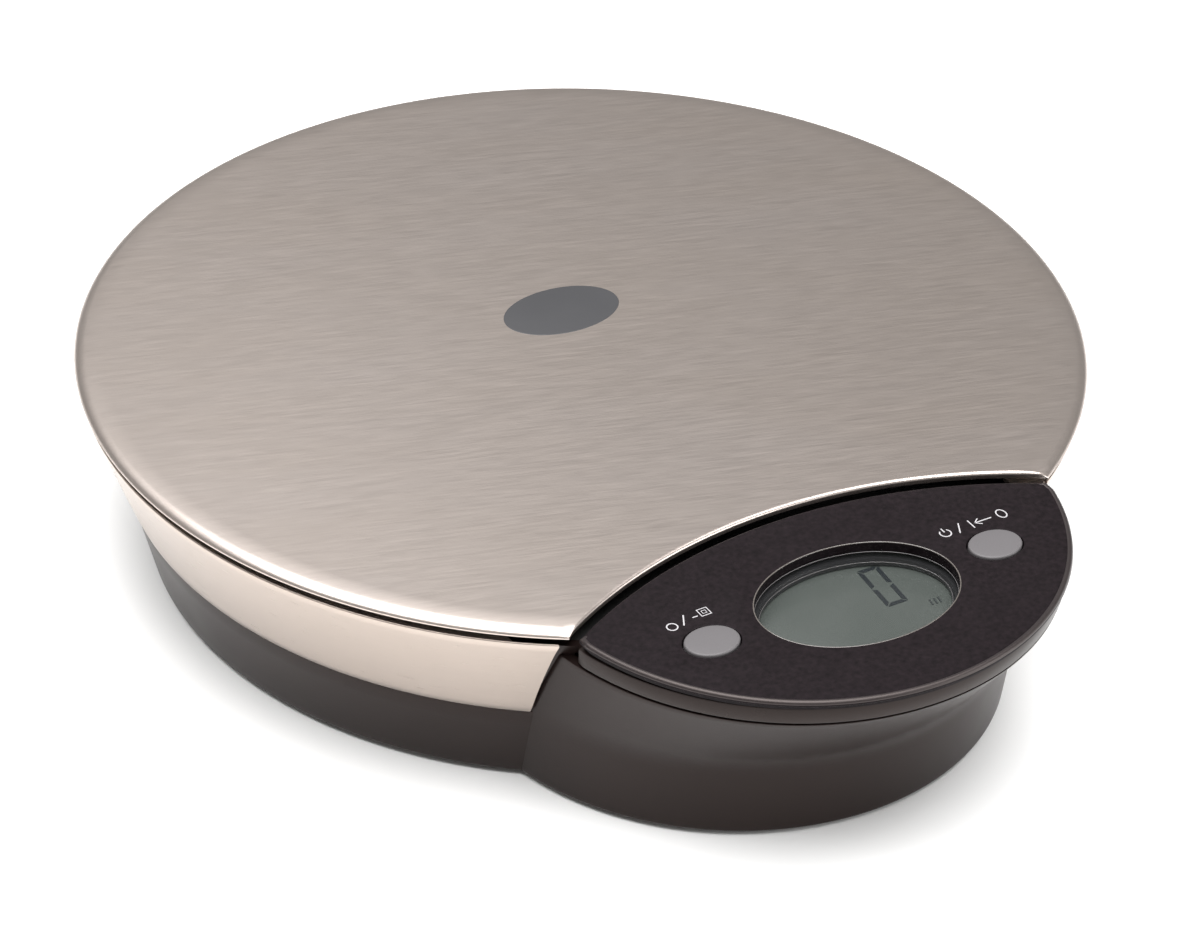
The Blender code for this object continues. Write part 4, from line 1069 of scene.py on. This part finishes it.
def battery_door():
    """The battery door: a rounded plate with its hinge knuckle, a snap tongue and a ribbed finger grip."""
    half = DOOR_THICKNESS / 2
    bottom = DOOR_HINGE_Z - half
    low = (-DOOR_HALF_WIDTH, DOOR_FRONT_Y, bottom)
    high = (DOOR_HALF_WIDTH, DOOR_HINGE_Y, DOOR_HINGE_Z + half)
    door = block("battery_cover", low, high, 0.0004)
    knuckle_x = DOOR_HALF_WIDTH - 0.0005
    ends = [(side * knuckle_x, DOOR_HINGE_Y, DOOR_HINGE_Z) for side in (-1, 1)]
    tongue_x, tongue_top = 0.006, 0.0048
    tongue_low = (-tongue_x, DOOR_FRONT_Y + 0.0019, DOOR_HINGE_Z)
    tongue_high = (tongue_x, DOOR_FRONT_Y + 0.0027, tongue_top)
    fused(door, rod("knuckle", half, *ends), block("tongue", tongue_low, tongue_high))
    first, pitch, width, depth = DOOR_FRONT_Y + 0.0042, 0.0013, 0.0006, 0.0003
    grooves = []
    for i in range(6):
        y = first + pitch * i
        reach = 0.0075 - 0.0009 * i
        grooves.append(block("groove", (-reach, y, 0.0), (reach, y + width, bottom + depth)))
    cut(door, joined("grooves", grooves))
    smooth(door)
    finished(door, "housing_plastic", HOUSING, "battery_door", body="door")


# ---------------- power

def battery(number, y, sign):
    """A cell: a printed jacket between two plated ends, with a nub at one."""
    half = BATTERY_LENGTH / 2
    radius = BATTERY_RADIUS
    shoulder = half - 0.0008
    seam = half * 0.45
    fine = 0.0001
    jacket = [
        (radius - 0.0009, shoulder - fine / 2),
        (radius - 0.0003, shoulder - fine),
        (radius, shoulder - 0.0005),
        (radius, seam + fine),
        (radius - 0.00003, seam),
        (radius, seam - fine),
        (radius, -half + 0.0005),
        (radius - 0.0003, -half + fine),
        (radius - 0.0009, -half + fine / 2),
    ]
    rim = radius - 0.0010
    top = [(rim, shoulder - 0.0003), (rim, shoulder), (0.0021, shoulder), (0.0019, shoulder + 0.0002)]
    top += [(0.0019, half - 0.0002), (0.0016, half), (0.0005, half)]
    bottom = [(0.0005, -half + fine), (0.0030, -half + fine), (0.0032, -half), (rim, -half)]
    bottom.append((rim, -half + 0.0004))
    caps = [turned("cell_top", top), turned("cell_bottom", bottom)]
    body = turned(f"cell_jacket_{number}", jacket, steps=64)
    ends = joined(f"cell_ends_{number}", caps)
    for piece in (body, ends):
        piece.data.transform(Matrix.Rotation(sign * pi / 2, 4, "Y"))
        piece.location = (0.0, y + AXIS_Y, BATTERY_Z)
        smooth(piece)
    finished(body, "battery_label", JACKET, f"battery_{number}")
    finished(ends, "contact_metal", CONTACT)


def coil(number, y, sign):
    """A tapered coil spring between a contact plate and its cell."""
    turns, wire = 4, 0.00032
    start = CONTACT_X - GAP
    reach = CONTACT_X - BATTERY_LENGTH / 2 - 2 * GAP
    wide, narrow = 0.0034, 0.0021
    steps = 24 * turns
    points = []
    for i in range(steps + 1):
        share = i / steps
        angle = 2 * pi * turns * share
        radius = wide + (narrow - wide) * share
        along = wire + (reach - 2 * wire) * share
        points.append((sign * (start - along), y + radius * cos(angle), BATTERY_Z + radius * sin(angle)))
    spring = tube(f"cell_spring_{number}", points, wire)
    finished(spring, "contact_metal", CONTACT, f"contact_spring_{number}")


def tube(name, points, radius):
    """A round wire through points."""
    path = [Vector(point) for point in points]
    side = (path[1] - path[0]).normalized().orthogonal()
    loops = []
    for i, place in enumerate(path):
        tangent = (path[min(i + 1, len(path) - 1)] - path[max(i - 1, 0)]).normalized()
        side = (side - side.dot(tangent) * tangent).normalized()
        across = tangent.cross(side)
        loops.append([place + radius * (cos(a) * side + sin(a) * across) for a in full_turn(12)])
    return smooth(skin(name, loops), 60)


# ---------------- materials

PLATTER_STEEL = brushed_steel(
    "platter_steel", (0.522, 0.464, 0.432), 0.34, 0.04, 0.028, (1.0, 0.985, 0.96), 0.000003, radians(-17)
)
SKIRT_STEEL = brushed_steel(
    "skirt_steel", (0.436, 0.374, 0.334), 0.30, 0.018, 0.025, (1.0, 0.99, 0.97), 0.0000006, band=True
)
EMBLEM_DARK = moulded("emblem_slate", (0.036, 0.036, 0.039), 0.40, 2600.0, 0.000004, 0.06)
WARM_GLOSS = (1.0, 0.87, 0.83)
HOUSING = moulded(
    "housing_charcoal", (0.0115, 0.0070, 0.0062), 0.31, 1700.0, 0.000012, 0.08, 0.20, WARM_GLOSS
)
BAND = moulded(
    "band_charcoal", (0.0130, 0.0088, 0.0080), 0.30, 1700.0, 0.000010, 0.06, 0.22, WARM_GLOSS
)
PANEL = moulded("panel_black", (0.0080, 0.0055, 0.0066), 0.40, 900.0, 0.000020, 0.25, 0.09, speckle=0.60)
LIP = moulded("panel_lip", (0.0110, 0.0085, 0.0092), 0.42, 1900.0, 0.000004, 0.06, 0.55, WARM_GLOSS)
# Much lighter than the black plastic round them: painted highlights on the window's rim and on the lens's
# and the mask's edges.
RIM_PAINTED_HIGHLIGHT = moulded("rim_painted_highlight", (0.090, 0.078, 0.070), 0.16, 900.0, 0.000002, 0.04, 1.0)
EDGE_PAINTED_HIGHLIGHT = moulded("edge_painted_highlight", (0.110, 0.102, 0.104), 0.20, 900.0, 0.000002, 0.04, 0.9)
MASK = moulded("mask_black", (0.020, 0.019, 0.021), 0.30, 1500.0, 0.000004, 0.05)
KEY = moulded("key_grey", (0.095, 0.089, 0.0925), 0.46, 2200.0, 0.000006, 0.03, 0.4)
RUBBER = moulded("foot_rubber", (0.016, 0.016, 0.016), 0.82, 1400.0, 0.00003, 0.12)
PRINT = moulded("print_white", (0.36, 0.35, 0.36), 0.5, 2400.0, 0.000002, 0.04)
INK = moulded("display_ink", (0.010, 0.013, 0.016), 0.30, 1200.0, 0.000001, 0.05)
INK_FAINT = moulded("display_ink_faint", (0.026, 0.031, 0.032), 0.30, 1200.0, 0.000001, 0.05)
JACKET = moulded("cell_jacket", (0.040, 0.120, 0.060), 0.28, 500.0, 0.000003, 0.05)
CARRIER = moulded("carrier_black", (0.040, 0.040, 0.040), 0.55, 1300.0, 0.00002)
HOLDER = moulded("holder_white", (0.70, 0.70, 0.68), 0.50, 1300.0, 0.00001, 0.04)
SILICONE = moulded("gauge_silicone", (0.84, 0.84, 0.82), 0.60, 500.0, 0.00004, 0.03)
FOAM = moulded("pad_foam", (0.72, 0.71, 0.66), 0.92, 1800.0, 0.00006, 0.08)
CONNECTOR = moulded("connector_rubber", (0.42, 0.40, 0.38), 0.70, 1800.0, 0.00002)
RESIN = moulded("chip_resin", (0.012, 0.012, 0.012), 0.25, 300.0, 0.00004)
WHITE_WIRE = moulded("wire_white", (0.78, 0.78, 0.76), 0.50, 900.0, 0.000005, 0.03)
RED_WIRE = moulded("wire_red", (0.50, 0.030, 0.022), 0.42, 900.0, 0.000005, 0.05)
BLACK_WIRE = moulded("wire_black", (0.020, 0.020, 0.020), 0.42, 900.0, 0.000005, 0.05)
CLEAR = clear_acrylic("clear_acrylic")
LCD = display_grey("display_grey")
BOARD = board_green("board_green")
FLANGE_STEEL = metal("flange_steel", (0.46, 0.39, 0.35), 0.55)
FASTENER = metal("fastener_zinc", (0.56, 0.55, 0.51), 0.34)
CONTACT = metal("contact_nickel", (0.70, 0.68, 0.64), 0.26)
ALUMINIUM = metal("cell_aluminium", (0.76, 0.76, 0.77), 0.36, 1500.0)
SWITCH = metal("switch_tin", (0.52, 0.52, 0.51), 0.32)

NODE_MATERIALS = (
    (CARRIER, "deck_cover", "platter_carrier", "units_plunger", "tare_plunger"),
    (ALUMINIUM, "load_cell"),
    (SILICONE, "gauge_cover"),
    (FASTENER, "cell_foot_block", "cell_head_block"),
    (HOLDER, "display_holder"),
    (CONNECTOR, "connector_strip_front", "connector_strip_back"),
    (BOARD, "circuit_board"),
    (RESIN, "controller_chip"),
    (SWITCH, "units_switch", "tare_switch"),
    (CONTACT, "bridge_contact", "positive_contact", "negative_contact"),
    (WHITE_WIRE, "load_cell_cable"),
    (RED_WIRE, "positive_lead"),
    (BLACK_WIRE, "negative_lead"),
    (FOAM, *(f"platter_pad_{i}" for i in range(1, 5))),
)


def dress_nodes():
    """Gives each CAD node that stays its own node material."""
    for material, *names in NODE_MATERIALS:
        for name in names:
            mesh = NODES[name].data
            mesh.materials.clear()
            mesh.materials.append(material)


# ---------------- floor, light and camera

def stage():
    """A pale seamless floor."""
    bm = bmesh.new()
    bmesh.ops.create_grid(bm, x_segments=1, y_segments=1, size=6.0)
    floor = bpy.data.objects.new("floor", mesh_from(bm, "floor"))
    bpy.context.scene.collection.objects.link(floor)
    made = Nodes("floor_paper")
    cloud = made.noise(made.place(), 6.0, 2.0)
    paper = made.ramp(cloud, (0.3, (0.90, 0.90, 0.895)), (0.7, (0.92, 0.92, 0.915)))
    made.set(Base_Color=paper, Roughness=0.9)
    floor.data.materials.append(made.material)


def softbox(name, at, aim, size, watts):
    data = bpy.data.lights.new(name, "AREA")
    data.shape = "RECTANGLE"
    data.size, data.size_y = size
    data.energy = watts
    light = bpy.data.objects.new(name, data)
    light.location = at
    light.rotation_mode = "QUATERNION"
    light.rotation_quaternion = (Vector(aim) - Vector(at)).to_track_quat("-Z", "Y")
    bpy.context.scene.collection.objects.link(light)


def lights():
    """Soft light from above, the right and behind, and the world's even light."""
    middle = (0.0, 0.0, 0.0)
    softbox("overhead", (-0.10, -0.07, 1.30), middle, (1.6, 1.4), 48.5)
    softbox("right_side", (0.80, -0.90, 0.35), (0.05, -0.10, 0.0), (0.7, 0.4), 6.0)
    softbox("back_left", (-0.05, 0.70, 1.00), middle, (1.0, 0.7), 1.6)
    world = bpy.data.worlds.new("studio")
    bpy.context.scene.world = world
    world.use_nodes = True
    background = world.node_tree.nodes["Background"]
    background.inputs["Color"].default_value = (1.0, 0.99, 0.975, 1.0)
    background.inputs["Strength"].default_value = 0.38


def camera():
    """The camera, looking down on the scale from its front left."""
    azimuth, elevation, roll = radians(-31.28), radians(34.51), radians(1.53)
    aim, distance = Vector((-0.02266, -0.03087, HEIGHT)), 0.8044
    back = Vector((sin(azimuth) * cos(elevation), -cos(azimuth) * cos(elevation), sin(elevation)))
    level = Vector((cos(azimuth), sin(azimuth), 0.0))
    upright = back.cross(level)
    right = cos(roll) * level + sin(roll) * upright
    up = cos(roll) * upright - sin(roll) * level
    data = bpy.data.cameras.new("camera")
    data.sensor_width = 36.0
    data.lens = 116.46
    obj = bpy.data.objects.new("camera", data)
    turn = Matrix((right, up, back)).transposed().to_4x4()
    obj.matrix_world = Matrix.Translation(aim + distance * back) @ turn
    bpy.context.scene.collection.objects.link(obj)
    bpy.context.scene.camera = obj


# ---------------- everything

def build():
    platter()
    emblem()
    skirt()
    skirt_flange()
    base_housing()
    panel_frame()
    control_panel()
    panel_lip()
    painted_highlight_rings()
    display_lens()
    display_bezel()
    display_glass()
    digit()
    unit_mark()
    for name, sign in (("units", -1), ("tare", 1)):
        button(name, sign)
    units_marks()
    tare_marks()
    for i, at in enumerate(FEET, 1):
        foot(i, at)
    screws()
    battery_door()
    for i, (y, sign) in enumerate(zip(BATTERY_YS, (1, -1)), 1):
        battery(i, y, sign)
        coil(i, y, -sign)
    dress_nodes()


bpy.context.scene.view_settings.view_transform = "Standard"
build()
stage()
lights()
camera()
